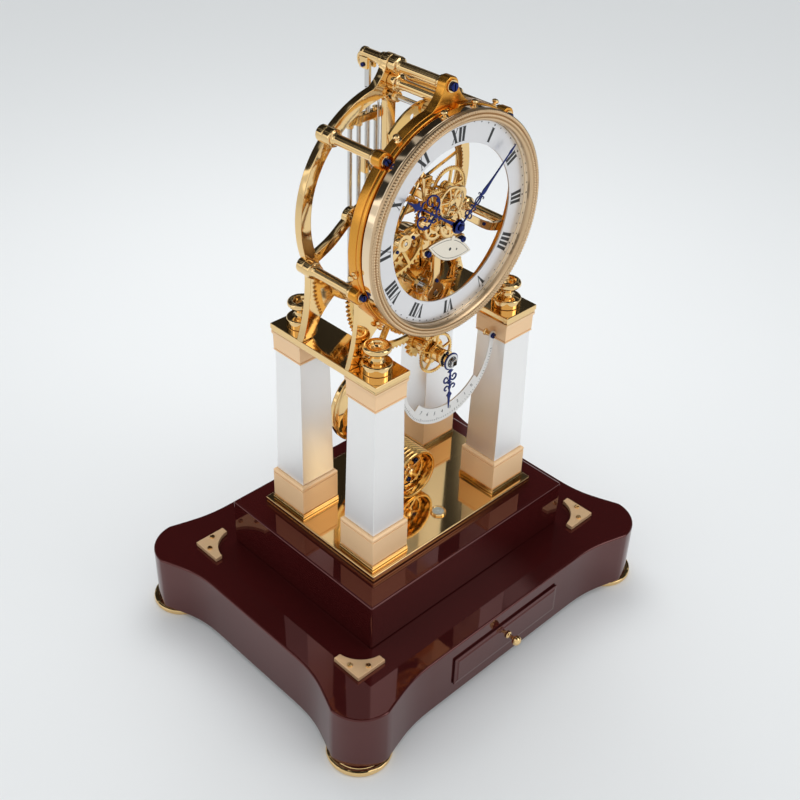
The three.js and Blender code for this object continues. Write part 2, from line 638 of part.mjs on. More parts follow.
function hourHand() {
  const blade = outline(mirrored([[-1.6, 6], [-1, 30], [-1, 60], [-4.4, 64], [-1.4, 70], [-0.4, 80]]));
  const scrolls = SIDES.map(([, s]) => annulus(6.6, 8.6, -63.4, -62.4, [s * 8.8, 50], 6));
  const small = SIDES.map(([, s]) => annulus(2.4, 4.2, -63.4, -62.4, [s * 4.6, 36], 4));
  const pipe = rodY(3.9, -63.8, -51.8, CENTER, 16);
  const gear = rodY(13.4, -54.4, -51.8, CENTER, 20);
  const hub = rodY(7, -63.6, -62.2, CENTER, 20);
  const body = join(plate(blade, -63.4, -62.4), ...scrolls, ...small, hub, pipe, gear);
  return cut(body, rodY(2.6, -70, -40, CENTER, 14));
}
addPart('hour_hand', bluedSteel, turned(hourHand(), HOUR_ANGLE));

// Minute wheel of the motion work, a deep drum beside the cannon pinion, with its own pinion in front.
addPart('motion_wheel', polishedGold, join(
  rodY(14.4, -51.6, -43.2, MOTION),
  rodY(3.6, -54.2, -49, MOTION),
  rodY(2.6, -55, -49, MOTION),
));

// ---- winding and the reserve indicator ----

const WINDING_Z = DIAL_Z + WINDING[1];
addPart('winding_arbor', polishedGold, join(
  rodY(6.8, -56.2, -14, WINDING, 20),
  annulus(3, 22, -44.6, -42.2, WINDING, 16),
  wheel(WIND_PAIR, 'a', WINDING, -19.6, -15),
  rodY(9, -58.4, -56, WINDING, 20),
  box(-3, 3, -70, -58, WINDING_Z - 3, WINDING_Z + 3),
));

function reserveHand() {
  const [, z] = WINDING;
  const blade = outline(mirrored([[-2, z - 8], [-4.5, z - 14], [-1, z - 17], [-1, z - 40], [-2.4, z - 43],
    [-0.5, z - 56]]));
  const scrolls = SIDES.map(([, s]) => annulus(2.4, 4.6, -65, -64, [s * 5.4, z - 22], 5));
  const lower = SIDES.map(([, s]) => annulus(1.7, 3.6, -65, -64, [s * 4.1, z - 31], 4));
  const body = join(plate(blade, -65, -64), ...scrolls, ...lower, rodY(9.4, -65.4, -63.6, WINDING, 22));
  return cut(body, rodY(4.7, -70, -60, WINDING, 16));
}
addPart('reserve_hand', bluedSteel, reserveHand());

// Crescent scale under the winding square, held by a post at each tip.
function reserveScale() {
  const [, z] = WINDING;
  const shape = new THREE.Shape();
  const step = THREE.MathUtils.degToRad(42);
  shape.moveTo(-66, z + 1);
  shape.absellipse(0, z, 66, 71, Math.PI, 2 * Math.PI, false);
  shape.lineTo(60, z + 1);
  shape.absellipse(0, z, 60, 61, 0, -step, true);
  shape.absarc(0, z, 53, -step, step - Math.PI, true);
  shape.absellipse(0, z, 60, 61, step - Math.PI, -Math.PI, true);
  shape.closePath();
  const posts = SIDES.map(([, s]) => {
    const at = [s * 63.4, z + 2];
    return join(rodY(2.6, -62.4, -52, at, 10), rodY(4.6, -61.6, -60, at));
  });
  return join(plate(shape, -61.6, -60, 10), ...posts);
}
addPart('reserve_scale', dialSilver, reserveScale());

// ---- pendulum ----

function gridiron() {
  const { y, pivot, rodSpread, bobZ } = PENDULUM;
  const top = 68;
  const bottom = -109;
  const upright = (x, r, low, high) => {
    const [z0, z1] = [DIAL_Z + low, DIAL_Z + high];
    return turnedZ([[0, z0], [r, z0], [r, z1], [0, z1]], x, y, 12);
  };
  const rods = [-1, -0.5, 0.5, 1].map((k) => upright(k * rodSpread, 2.3, bottom, top));
  const across = (z) => box(-rodSpread - 5, rodSpread + 5, y - 4, y + 4, DIAL_Z + z - 4, DIAL_Z + z + 4);
  const spring = box(-1.6, 1.6, y - 3, y + 3, DIAL_Z + 95, DIAL_Z + pivot - 1);
  const slot = box(-2.6, 2.6, y - 4.6, y + 9, DIAL_Z + 15, DIAL_Z + 25);
  const frame = join(across(top), across(bottom), ...rods, upright(0, 2.6, bobZ - 66, 97), spring,
    box(-5.6, 5.6, y - 4, y + 4, DIAL_Z + 10, DIAL_Z + 30));
  return cut(frame, slot);
}
addPart('pendulum_rods', satinGold, gridiron());

function bob() {
  const { y, bobZ, bobRadius } = PENDULUM;
  const lens = [[0, y - 12]];
  for (let i = 1; i < 5; i += 1) {
    lens.push([bobRadius * Math.sin(i * 0.3), y - 2 - 10 * Math.cos(i * 0.33)]);
  }
  lens.push([bobRadius, y - 2], [bobRadius, y + 2]);
  for (let i = 4; i > 0; i -= 1) {
    lens.push([bobRadius * Math.sin(i * 0.3), y + 2 + 10 * Math.cos(i * 0.33)]);
  }
  lens.push([0, y + 12]);
  const bore = box(-3, 3, y - 3, y + 3, 0, 900);
  return cut(turnedY(lens, [0, bobZ], 28), bore);
}
addPart('pendulum_bob', polishedGold, bob());
const RATING_Z = DIAL_Z + PENDULUM.bobZ - PENDULUM.bobRadius - 9;
addPart('rating_nut', polishedGold, cut(
  turnedZ([[0, RATING_Z], [9, RATING_Z], [9, RATING_Z + 6], [0, RATING_Z + 6]], 0, PENDULUM.y, 20),
  box(-3, 3, PENDULUM.y - 3, PENDULUM.y + 3, 0, 900),
));

export default group;
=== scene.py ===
"""Looks of the skeleton clock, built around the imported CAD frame.

Shapes are drawn in millimetres: x to the viewer's right, y from the dial to the back, z up. Flat shapes in
the plane of the dial are drawn as (x, z) pairs measured from the hands' centre.
"""

from math import atan2, cos, hypot, pi, radians, sin

import bmesh
import bpy
from mathutils import Matrix, Vector
from mathutils.geometry import delaunay_2d_cdt


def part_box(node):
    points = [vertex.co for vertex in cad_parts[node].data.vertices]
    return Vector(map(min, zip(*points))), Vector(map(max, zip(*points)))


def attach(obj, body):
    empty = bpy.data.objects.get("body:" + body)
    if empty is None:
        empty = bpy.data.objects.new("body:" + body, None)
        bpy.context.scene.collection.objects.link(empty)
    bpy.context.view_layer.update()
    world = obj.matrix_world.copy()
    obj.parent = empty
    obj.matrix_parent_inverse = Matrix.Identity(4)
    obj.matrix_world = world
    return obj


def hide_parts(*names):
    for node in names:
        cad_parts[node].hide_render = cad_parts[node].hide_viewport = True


MM = 0.001
FRAME = "clock_frame"

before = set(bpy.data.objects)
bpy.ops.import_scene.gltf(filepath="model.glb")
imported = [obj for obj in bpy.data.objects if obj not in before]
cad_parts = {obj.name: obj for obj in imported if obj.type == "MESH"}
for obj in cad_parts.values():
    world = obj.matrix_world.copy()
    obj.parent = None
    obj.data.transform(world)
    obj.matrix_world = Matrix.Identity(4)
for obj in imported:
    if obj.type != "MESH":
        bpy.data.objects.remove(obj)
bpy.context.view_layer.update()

dial_low, dial_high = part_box("chapter_ring")
X0 = (dial_low.x + dial_high.x) / 2 / MM
Z0 = (dial_low.z + dial_high.z) / 2 / MM     # height of the hands' centre
Y0 = dial_low.y / MM + 57                    # the dial's face lies 57 mm in front of y = 0


def node_box(name):
    """Box of a CAD node in this script's millimetres, as ((x, x), (y, y), (z, z))."""
    low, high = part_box(name)
    shift = (X0, Y0, 0)
    return [(low[i] / MM - shift[i], high[i] / MM - shift[i]) for i in range(3)]


# ---- camera, floor and light ----

CAMERA_AT = (-0.7156, -0.70505, 0.9773)
CAMERA_YAW = radians(45.16)
CAMERA_PITCH = radians(35.46)
CAMERA_ROLL = radians(1.864)
CAMERA_LENS = 53.02


def make_camera():
    data = bpy.data.cameras.new("camera")
    data.lens = CAMERA_LENS
    data.sensor_width = 36
    data.clip_end = 50
    camera = bpy.data.objects.new("camera", data)
    bpy.context.scene.collection.objects.link(camera)
    flat = cos(CAMERA_PITCH)
    ahead = Vector((sin(CAMERA_YAW) * flat, cos(CAMERA_YAW) * flat, -sin(CAMERA_PITCH)))
    level = Vector((cos(CAMERA_YAW), -sin(CAMERA_YAW), 0))
    upright = level.cross(ahead)
    right = level * cos(CAMERA_ROLL) + upright * sin(CAMERA_ROLL)
    up = upright * cos(CAMERA_ROLL) - level * sin(CAMERA_ROLL)
    turn = Matrix((right, up, -ahead)).transposed()
    camera.matrix_world = Matrix.Translation(CAMERA_AT) @ turn.to_4x4()
    bpy.context.scene.camera = camera


make_camera()


def area_light(name, at, target, size, power, mirrored=True):
    data = bpy.data.lights.new(name, "AREA")
    data.shape = "RECTANGLE"
    data.size, data.size_y = size
    data.energy = power
    lamp = bpy.data.objects.new(name, data)
    lamp.visible_glossy = mirrored
    bpy.context.scene.collection.objects.link(lamp)
    aim = (Vector(target) - Vector(at)).to_track_quat("-Z", "Y")
    lamp.matrix_world = Matrix.Translation(at) @ aim.to_matrix().to_4x4()


def make_node(tree, kind, inputs=None, operation=None, data_type=None):
    """A shader node; inputs holds a value or another node's output for each socket, by name or number."""
    made = tree.nodes.new("ShaderNode" + kind)
    if operation:
        made.operation = operation
    if data_type:
        made.data_type = data_type
    for socket, value in (inputs or {}).items():
        if isinstance(value, bpy.types.NodeSocket):
            tree.links.new(value, made.inputs[socket])
        else:
            made.inputs[socket].default_value = value
    return made


SKY = (0.79, 0.81, 0.815, 1)
ROOM_AXIS = (0.58, 0.58, 0.57)       # mirrors see a room pale on the viewer's side and dark along this
ROOM_START, ROOM_END = (0.70, 0.70, 0.70, 1), (0.02, 0.018, 0.016, 1)
ROOM_STEPS = ((0.06, 1.2), (0.16, 1.2), (0.21, 0.035), (0.66, 0.025), (0.7, 0.45), (0.76, 0.45), (0.8, 0.025))
ROOM_WARP = 0.45


def studio():
    """Even white light for matt surfaces; mirrors see a darker room with pale patches in it."""
    area_light("light_above", (0.4, 0.55, 1.2), (0.22, 0.32, 0), (0.8, 0.8), 5, mirrored=False)
    area_light("light_left", (-2.1, 0.9, 1.3), (0, 0, 0.35), (1.1, 1.6), 3)
    area_light("light_front", (1.1, -2.2, 1.4), (0, 0, 0.35), (1.2, 1.5), 9)
    world = bpy.data.worlds.new("studio")
    world.use_nodes = True
    bpy.context.scene.world = world
    tree = world.node_tree
    way = make_node(tree, "TexCoord").outputs["Generated"]
    along = make_node(tree, "VectorMath", {0: way, 1: ROOM_AXIS}, operation="DOT_PRODUCT")
    cloud = make_node(tree, "TexNoise", {"Scale": 2.1, "Detail": 1, "Vector": way})
    warp = make_node(tree, "MapRange", {"From Min": 0.3, "From Max": 0.7, "To Min": -ROOM_WARP,
                                        "To Max": ROOM_WARP, "Value": cloud.outputs[0]})
    place = make_node(tree, "Math", {0: along.outputs["Value"], 1: warp.outputs[0]}, operation="ADD")
    ramp = make_node(tree, "ValToRGB", {0: place.outputs[0]})
    first, last = ramp.color_ramp.elements
    first.position, first.color = 0.0, ROOM_START
    last.position, last.color = 1.0, ROOM_END
    for position, level in ROOM_STEPS:
        ramp.color_ramp.elements.new(position).color = (level, level, level, 1)
    glossy = make_node(tree, "LightPath").outputs["Is Glossy Ray"]
    choose = make_node(tree, "Mix", {"A": SKY, "Factor": glossy, "B": ramp.outputs[0]}, data_type="RGBA")
    tree.links.new(choose.outputs["Result"], tree.nodes["Background"].inputs["Color"])


studio()
bpy.context.scene.view_settings.view_transform = "Standard"


# ---- materials ----

def lathe_marks(tree, point, centre):
    """Radius, depth and turn about the centre (x, z) in place of x, y and z."""
    middle = ((centre[0] + X0) * MM, 0, (centre[1] + Z0) * MM)
    shift = make_node(tree, "VectorMath", {0: point, 1: middle}, operation="SUBTRACT").outputs[0]
    parts = make_node(tree, "SeparateXYZ", {0: shift}).outputs
    flat = make_node(tree, "VectorMath", {0: shift, 1: (1, 0, 1)}, operation="MULTIPLY").outputs[0]
    radius = make_node(tree, "VectorMath", {0: flat}, operation="LENGTH").outputs["Value"]
    angle = make_node(tree, "Math", {0: parts["Z"], 1: parts["X"]}, operation="ARCTAN2").outputs[0]
    return make_node(tree, "CombineXYZ", {"X": radius, "Y": parts["Y"], "Z": angle}).outputs[0]


def material(name, color, roughness, metallic=1.0, spread=0.06, grain=(300, 300, 300), bump=0.05, tint=0.9,
             around=None, patch=18, **sockets):
    """A finish whose grain sets roughness and a fine bump; a soft large pattern varies its colour.

    grain is how many strokes there are to a metre along x, y and z. around=(x, z) makes them run round that
    centre, as the marks of a lathe do; then grain is along the radius, the depth and the turn.
    """
    mat = bpy.data.materials.new(name)
    mat.use_nodes = True
    tree = mat.node_tree
    point = make_node(tree, "TexCoord").outputs["Object"]
    strokes = lathe_marks(tree, point, around) if around else point
    scaled = make_node(tree, "Mapping", {"Scale": grain, "Vector": strokes}).outputs[0]
    fine = make_node(tree, "TexNoise", {"Scale": 1, "Detail": 4, "Vector": scaled}).outputs[0]
    low, high = max(0.01, roughness - spread), roughness + spread
    rough = make_node(tree, "MapRange", {"To Min": low, "To Max": high, "Value": fine})
    broad = make_node(tree, "TexNoise", {"Scale": patch, "Detail": 2, "Vector": point}).outputs[0]
    shades = make_node(tree, "Mix", {"A": (*color, 1), "B": (*(c * tint for c in color), 1), "Factor": broad},
                       data_type="RGBA")
    relief = make_node(tree, "Bump", {"Strength": bump, "Distance": 0.1 * MM, "Height": fine})
    shader = tree.nodes["Principled BSDF"].inputs
    shader["Metallic"].default_value = metallic
    for socket, value in sockets.items():
        shader[socket.replace("_", " ").title().replace("Ior", "IOR")].default_value = value
    tree.links.new(rough.outputs[0], shader["Roughness"])
    tree.links.new(shades.outputs["Result"], shader["Base Color"])
    tree.links.new(relief.outputs[0], shader["Normal"])
    return mat


GOLD = (0.98, 0.69, 0.33)
PEACH = (1.0, 0.67, 0.38)
SILVER = (0.97, 0.96, 0.95)
gold = material("gold_polished", GOLD, 0.07, spread=0.03, grain=(900, 900, 900), bump=0.02)
gold_turned = material("gold_turned", (1.0, 0.79, 0.54), 0.06, spread=0.03, grain=(4000, 4000, 3),
                       bump=0.04, around=(0, 0))
gold_band = material("gold_band", (0.86, 0.39, 0.06), 0.24, grain=(6000, 6000, 6), bump=0.08, around=(0, 0))
gold_bezel = material("gold_bezel", (0.74, 0.53, 0.32), 0.3, grain=(3000, 3000, 40), bump=0.06, around=(0, 0))
gold_satin = material("gold_satin", PEACH, 0.3, metallic=0.2, grain=(90, 90, 5200), bump=0.1)
gold_bracket = material("gold_bracket", PEACH, 0.25, metallic=0.5, grain=(90, 5200, 90), bump=0.08)
gold_frame = material("gold_frame", GOLD, 0.08, spread=0.03, grain=(700, 3000, 700), bump=0.05)
gold_wheel = material("gold_wheel", (0.92, 0.6, 0.22), 0.14, grain=(1800, 200, 1800), bump=0.06)
silver_satin = material("silver_satin", SILVER, 0.34, metallic=0.8, grain=(5200, 5200, 40), bump=0.1,
                        tint=0.96)
steel = material("steel", (0.72, 0.70, 0.68), 0.13, grain=(3000, 3000, 80), bump=0.05)
blued = material("blued_steel", (0.03, 0.045, 0.2), 0.14, grain=(1500, 300, 1500), bump=0.04, tint=0.55,
                 patch=60)
dial_silver = material("dial_silver", (0.83, 0.82, 0.83), 0.36, metallic=0.85, grain=(30, 30, 90), bump=0.06,
                       around=(0, 0), tint=0.97)
scale_silver = material("scale_silver", (0.86, 0.84, 0.81), 0.36, metallic=0.8, grain=(900, 200, 900),
                        bump=0.08)
cock_silver = material("cock_silver", (0.93, 0.85, 0.72), 0.3, grain=(2600, 300, 160), bump=0.1)
enamel = material("black_enamel", (0.012, 0.012, 0.014), 0.3, metallic=0, grain=(900, 900, 900), tint=0.7)
white_enamel = material("white_enamel", (0.8, 0.8, 0.8), 0.2, metallic=0, grain=(900, 900, 900), bump=0.03)
lacquer = material("lacquer", (0.046, 0.006, 0.006), 0.04, spread=0.02, metallic=0, grain=(60, 60, 60),
                   bump=0.01, tint=0.72, patch=7, specular_ior_level=1.0, specular_tint=(1, 0.5, 0.47, 1))
felt = material("felt", (0.09, 0.012, 0.02), 0.9, metallic=0, grain=(2600, 2600, 2600), bump=0.6, tint=0.6,
                sheen_weight=0.6)
glass = material("level_glass", (0.62, 0.66, 0.60), 0.08, metallic=0, grain=(400, 400, 400), bump=0.02,
                 coat_weight=1.0)

SLOT_OF = {gold: "gold_polished", gold_turned: "gold_polished", gold_bracket: "gold_polished",
           gold_wheel: "gold_polished", gold_band: "gold_satin", gold_bezel: "gold_satin",
           gold_satin: "gold_satin", gold_frame: "gold_satin", silver_satin: "silver_satin",
           dial_silver: "dial_silver", scale_silver: "dial_silver", cock_silver: "dial_silver",
           steel: "steel", blued: "blued_steel", lacquer: "lacquer"}


# ---- flat outlines ----

def circle(x, z, radius, count=48):
    return [(x + radius * cos(2 * pi * i / count), z + radius * sin(2 * pi * i / count))
            for i in range(count)]


def arc(x, z, radius, start, end, count=16, squash=1.0):
    """Points from one angle to another, in degrees; squash is the height of an ellipse over its width."""
    turns = [radians(start + (end - start) * i / count) for i in range(count + 1)]
    return [(x + radius * cos(a), z + squash * radius * sin(a)) for a in turns]


def rect(x0, x1, z0, z1):
    return [(x0, z0), (x1, z0), (x1, z1), (x0, z1)]


def polar(radius, degrees):
    return radius * cos(radians(degrees)), radius * sin(radians(degrees))


def bend(a, b, c, count=12):
    """Points of the curve from a to c that is pulled towards b."""
    steps = [i / count for i in range(count + 1)]
    return [tuple((1 - t) ** 2 * p + 2 * t * (1 - t) * q + t * t * r for p, q, r in zip(a, b, c))
            for t in steps]


def cubic(a, b, c, d):
    steps = [i / 14 for i in range(15)]
    return [tuple((1 - t) ** 3 * p + 3 * t * (1 - t) ** 2 * q + 3 * t * t * (1 - t) * r + t ** 3 * s
                  for p, q, r, s in zip(a, b, c, d)) for t in steps]


def smooth_line(points, count=8):
    """A curve through the points."""
    ends = [points[0], *points, points[-1]]
    out = []
    for p0, p1, p2, p3 in zip(ends, ends[1:], ends[2:], ends[3:]):
        for i in range(count):
            t = i / count
            spans = zip(p0, p1, p2, p3)
            out.append(tuple(0.5 * (2 * b + (c - a) * t + (2 * a - 5 * b + 4 * c - d) * t * t
                                    + (3 * b - a - 3 * c + d) * t ** 3) for a, b, c, d in spans))
    return [*out, points[-1]]


def stroke(points, *widths):
    """Outline of a line whose width goes evenly through the widths given."""
    left, right = [], []
    last = len(points) - 1
    for i, (x, z) in enumerate(points):
        ahead, behind = points[min(i + 1, last)], points[max(i - 1, 0)]
        dx, dz = ahead[0] - behind[0], ahead[1] - behind[1]
        size = hypot(dx, dz)
        place = i / last * (len(widths) - 1)
        k = min(int(place), len(widths) - 2) if len(widths) > 1 else 0
        wide = widths[k] if len(widths) == 1 else widths[k] + (widths[k + 1] - widths[k]) * (place - k)
        left.append((x - dz / size * wide / 2, z + dx / size * wide / 2))
        right.append((x + dz / size * wide / 2, z - dx / size * wide / 2))
    return left + right[::-1]


def curl(x, z, outer, inner, start, end, count=28):
    """Points of a spiral that winds in from one radius to another."""
    out = []
    for i in range(count + 1):
        t = i / count
        out.append((x + (outer + (inner - outer) * t) * cos(radians(start + (end - start) * t)),
                    z + (outer + (inner - outer) * t) * sin(radians(start + (end - start) * t))))
    return out


def mirrored(points):
    return points + [(-x, z) for x, z in reversed(points)]


def flip(points):
    return [(-x, z) for x, z in points]


def turned(points, clockwise, centre=(0, 0)):
    c, s = cos(radians(clockwise)), sin(radians(clockwise))
    return [(centre[0] + x * c + z * s, centre[1] - x * s + z * c) for x, z in points]


def soft(points, radius, steps=3, closed=False):
    """Rounds the corners of a line of points."""
    out = []
    last = len(points) - 1
    for i, p in enumerate(points):
        if not closed and i in (0, last):
            out.append(p)
            continue
        a, b = points[i - 1], points[(i + 1) % (last + 1)]
        da, db = hypot(a[0] - p[0], a[1] - p[1]), hypot(b[0] - p[0], b[1] - p[1])
        cut = min(radius, 0.45 * da, 0.45 * db)
        pa = (p[0] + (a[0] - p[0]) / da * cut, p[1] + (a[1] - p[1]) / da * cut)
        pb = (p[0] + (b[0] - p[0]) / db * cut, p[1] + (b[1] - p[1]) / db * cut)
        out.extend(bend(pa, p, pb, steps))
    return out


def area(loop):
    return sum(a[0] * b[1] - b[0] * a[1] for a, b in zip(loop, loop[1:] + loop[:1])) / 2


def filled(loop):
    """The loop, turned round if its inside lies to its right."""
    return loop if area(loop) > 0 else loop[::-1]


def triangles(loops, wanted):
    """Splits the plane along the loops; keeps the triangles for which wanted(loops that hold it) is true."""
    points, faces = [], []
    for loop in loops:
        run = list(range(len(points), len(points) + len(loop)))
        points.extend(loop)
        faces.append(run if area(loop) > 0 else run[::-1])
    found = delaunay_2d_cdt([Vector(p) for p in points], [], faces, 0, 1e-5)
    kept = [f for f, held in zip(found[2], found[5]) if wanted(held)]
    return found[0], kept, found[3]


def shape(add, cut=()):
    """Outline loops of the outlines in add, joined, less those in cut."""
    loops = [*add, *cut]
    points, faces, _ = triangles(loops, lambda held: held and max(held) < len(add))
    edges = {(f[i], f[(i + 1) % 3]) for f in faces for i in range(3)}
    after = {}
    for a, b in sorted(edges):
        if (b, a) not in edges:
            after.setdefault(a, []).append(b)
    found = []
    while after:
        start = min(after)
        loop, at = [], start
        while at in after:
            loop.append(at)
            step = after[at].pop()
            if not after[at]:
                del after[at]
            at = step
        loop = tidy_loop([tuple(points[i]) for i in loop])
        if len(loop) > 2 and abs(area(loop)) > 0.02:
            found.append(loop)
    return found


def tidy_loop(loop, near=0.03):
    return [p for i, p in enumerate(loop) if hypot(p[0] - loop[i - 1][0], p[1] - loop[i - 1][1]) > near]


def inset(loop, depth):
    """The loop moved to its left, which is where the material is."""
    out = []
    for i, p in enumerate(loop):
        a, b = loop[i - 1], loop[(i + 1) % len(loop)]
        d1, d2 = (p[0] - a[0], p[1] - a[1]), (b[0] - p[0], b[1] - p[1])
        s1, s2 = hypot(*d1) or 1, hypot(*d2) or 1
        n1, n2 = (-d1[1] / s1, d1[0] / s1), (-d2[1] / s2, d2[0] / s2)
        grow = depth / max(0.35, 1 + n1[0] * n2[0] + n1[1] * n2[1])
        out.append((p[0] + (n1[0] + n2[0]) * grow, p[1] + (n1[1] + n2[1]) * grow))
    return out


def teeth_round(count, form, centre=(0, 0)):
    """Outline of a ring of teeth; form holds (radius, share of the pitch) pairs of one tooth."""
    step = 360 / count
    spots = [polar(r, (i + o) * step) for i in range(count) for r, o in form]
    return [(x + centre[0], z + centre[1]) for x, z in spots]


def windows(x, z, hub, rim, spokes, phase, width):
    """Openings between the spokes of a wheel."""
    out = []
    for i in range(spokes):
        start, end = phase + i * 2 * pi / spokes, phase + (i + 1) * 2 * pi / spokes
        a = [start + width / 2 / rim + (end - start - width / rim) * k / 14 for k in range(15)]
        b = [start + width / 2 / hub + (end - start - width / hub) * k / 8 for k in range(9)]
        loop = [(x + rim * cos(t), z + rim * sin(t)) for t in a]
        loop += [(x + hub * cos(t), z + hub * sin(t)) for t in b[::-1]]
        out.append(soft(loop, 0.8, 2, closed=True))
    return out


# ---- solid pieces ----

AX, AY, AZ = Vector((1, 0, 0)), Vector((0, 1, 0)), Vector((0, 0, 1))


def in_dial(x=0.0, z=0.0):
    """Frame of shapes in the plane of the dial: across, up, and depth."""
    return Vector((x, 0, Z0 + z)), AX, AZ, AY


def on_floor(x=0.0, y=0.0):
    """Frame of shapes seen from above."""
    return Vector((x, y, 0)), AX, AY, AZ


def facing(x, z, y, way=-1):
    """Frame of something that stands out to the front (way -1) or to the back (way 1) from depth y."""
    return Vector((x, y, Z0 + z)), AX, AZ, AY * way


def outward(degrees, radius, y):
    """Frame of something that stands out of the ring's edge."""
    out = Vector((cos(radians(degrees)), 0, sin(radians(degrees))))
    return Vector((0, y, Z0)) + out * radius, AY, out.cross(AY), out


class Piece:
    """One visible piece, put together from closed bodies."""

    def __init__(self, name):
        self.name = name
        self.bm = bmesh.new()

    def add(self, verts, faces):
        part = bmesh.new()
        made = [part.verts.new(v) for v in verts]
        for face in faces:
            part.faces.new([made[i] for i in face])
        bmesh.ops.recalc_face_normals(part, faces=part.faces)
        mesh = bpy.data.meshes.new("part")
        part.to_mesh(mesh)
        part.free()
        self.bm.from_mesh(mesh)
        bpy.data.meshes.remove(mesh)
        return self

    def loft(self, rings, closed=False):
        """Skin over rings of points; a ring of one point is a tip. Ends are capped unless it is closed."""
        verts = [p for ring in rings for p in ring]
        starts, total = [], 0
        for ring in rings:
            starts.append(total)
            total += len(ring)
        faces = []
        pairs = list(zip(range(len(rings)), range(1, len(rings))))
        if closed:
            pairs.append((len(rings) - 1, 0))
        for a, b in pairs:
            na, nb = len(rings[a]), len(rings[b])
            for i in range(max(na, nb)):
                j = (i + 1) % max(na, nb)
                quad = [starts[a] + i % na, starts[a] + j % na, starts[b] + j % nb, starts[b] + i % nb]
                faces.append([v for k, v in enumerate(quad) if v not in quad[:k]])
        if not closed:
            for ring, start in ((rings[0], starts[0]), (rings[-1], starts[-1])):
                if len(ring) > 2:
                    faces.append(list(range(start, start + len(ring))))
        return self.add(verts, faces)

    def lathe(self, profile, at, count=64, closed=False, ripple=None):
        """Turns a profile of (radius, height) pairs about the axis of the frame."""
        origin, u, v, w = at
        rings = []
        for k, (radius, height) in enumerate(profile):
            if radius < 1e-6:
                rings.append([origin + w * height])
                continue
            ring = []
            for i in range(count):
                a = 2 * pi * i / count
                r, h = (radius, height) if ripple is None else ripple(a, k, radius, height)
                ring.append(origin + u * (r * cos(a)) + v * (r * sin(a)) + w * h)
            rings.append(ring)
        return self.loft(rings, closed)

    def plate(self, loops, low, high, bevel=0.3, at=None):
        """A flat body between two depths, with its edges eased."""
        origin, u, v, w = at or in_dial()
        bevel = min(bevel, 0.4 * (high - low))
        levels = [(bevel, low), (0.29 * bevel, low + 0.29 * bevel), (0, low + bevel)]
        levels += [(i, low + high - h) for i, h in reversed(levels)]
        verts, faces, starts = [], [], []
        for loop in loops:
            starts.append(len(verts))
            for depth, height in levels:
                ring = inset(loop, depth) if depth else loop
                verts.extend(origin + u * a + v * b + w * height for a, b in ring)
            n = len(loop)
            for k in range(len(levels) - 1):
                for i in range(n):
                    a, b = starts[-1] + k * n + i, starts[-1] + k * n + (i + 1) % n
                    faces.append([a, b, b + n, a + n])
        caps = [inset(loop, bevel) for loop in loops]
        outer = [area(loop) > 0 for loop in loops]
        index = [(s, i, len(loop)) for s, loop in zip(starts, loops) for i in range(len(loop))]
        _, tris, origins = triangles(caps, lambda held: sum(1 if outer[k] else -1 for k in held) > 0)
        for tri in tris:
            ids = [index[min(origins[i])] for i in tri if origins[i]]
            if len(ids) < 3:
                continue
            faces.append([s + i for s, i, n in ids])
            faces.append([s + 5 * n + i for s, i, n in ids])
        return self.add(verts, faces)

    def block(self, xs, ys, zs, radius=0.6):
        outline = soft(rect(*xs, *ys), radius, closed=True)
        return self.plate([outline], *zs, bevel=radius, at=on_floor())

    def moulded(self, xs, ys, levels, corner, at=None):
        """A rectangular body with a moulded edge; levels holds (inset, height) pairs."""
        origin, u, v, w = at or on_floor()
        rings = []
        for d, h in levels:
            outline = soft(rect(xs[0] + d, xs[1] - d, ys[0] + d, ys[1] - d), corner, closed=True)
            rings.append([origin + u * a + v * b + w * h for a, b in outline])
        return self.loft(rings)

    def stack(self, levels, x, y, corner=0.6):
        """A square body; levels holds (half width, height) pairs."""
        rings = []
        for half, height in levels:
            square = soft(rect(-half, half, -half, half), corner, closed=True)
            rings.append([Vector((x + a, y + b, height)) for a, b in square])
        return self.loft(rings)

    def tube(self, path, radius, count=14):
        """A round bar along a path."""
        points = [Vector(p) for p in path]
        rings = []
        side = None
        for i, p in enumerate(points):
            along = (points[min(i + 1, len(points) - 1)] - points[max(i - 1, 0)]).normalized()
            if side is None:
                side = along.orthogonal().normalized()
            side = (side - along * side.dot(along)).normalized()
            other = along.cross(side)
            rings.append([p + (side * cos(2 * pi * k / count) + other * sin(2 * pi * k / count)) * radius
                          for k in range(count)])
        return self.loft(rings)

    def screw(self, at, radius, height, angle=35.0, dome=False):
        """Head of a slotted screw."""
        low = 0.45 * height
        self.lathe(soft([(0, 0), (radius, 0), (radius, low), (0, low)], 0.15), at, 32)
        slot = 0.13 * radius
        ease = (0.3 if dome else 0.16) * radius
        rim = radius * (0.94 if dome else 1.0)
        for side in (-1, 1):
            edge = [p for p in circle(0, 0, rim, 40) if p[1] * side > slot]
            end = rim * cos(pi / 40)
            half = sorted(edge, key=lambda p: atan2(p[1] * side, p[0]))
            half = [(end, slot * side), *half, (-end, slot * side)]
            self.plate([filled(turned(half, angle))], low - 0.01, height, bevel=ease, at=at)
        return self

    def place(self, shift=(X0, Y0)):
        """Puts the piece into the scene, in metres; shift takes it from the drawing's axes to the frame's."""
        for v in self.bm.verts:
            v.co = Vector((v.co.x + shift[0], v.co.y + shift[1], v.co.z)) * MM
        mesh = bpy.data.meshes.new(self.name)
        self.bm.to_mesh(mesh)
        self.bm.free()
        obj = bpy.data.objects.new(self.name, mesh)
        bpy.context.scene.collection.objects.link(obj)
        return obj

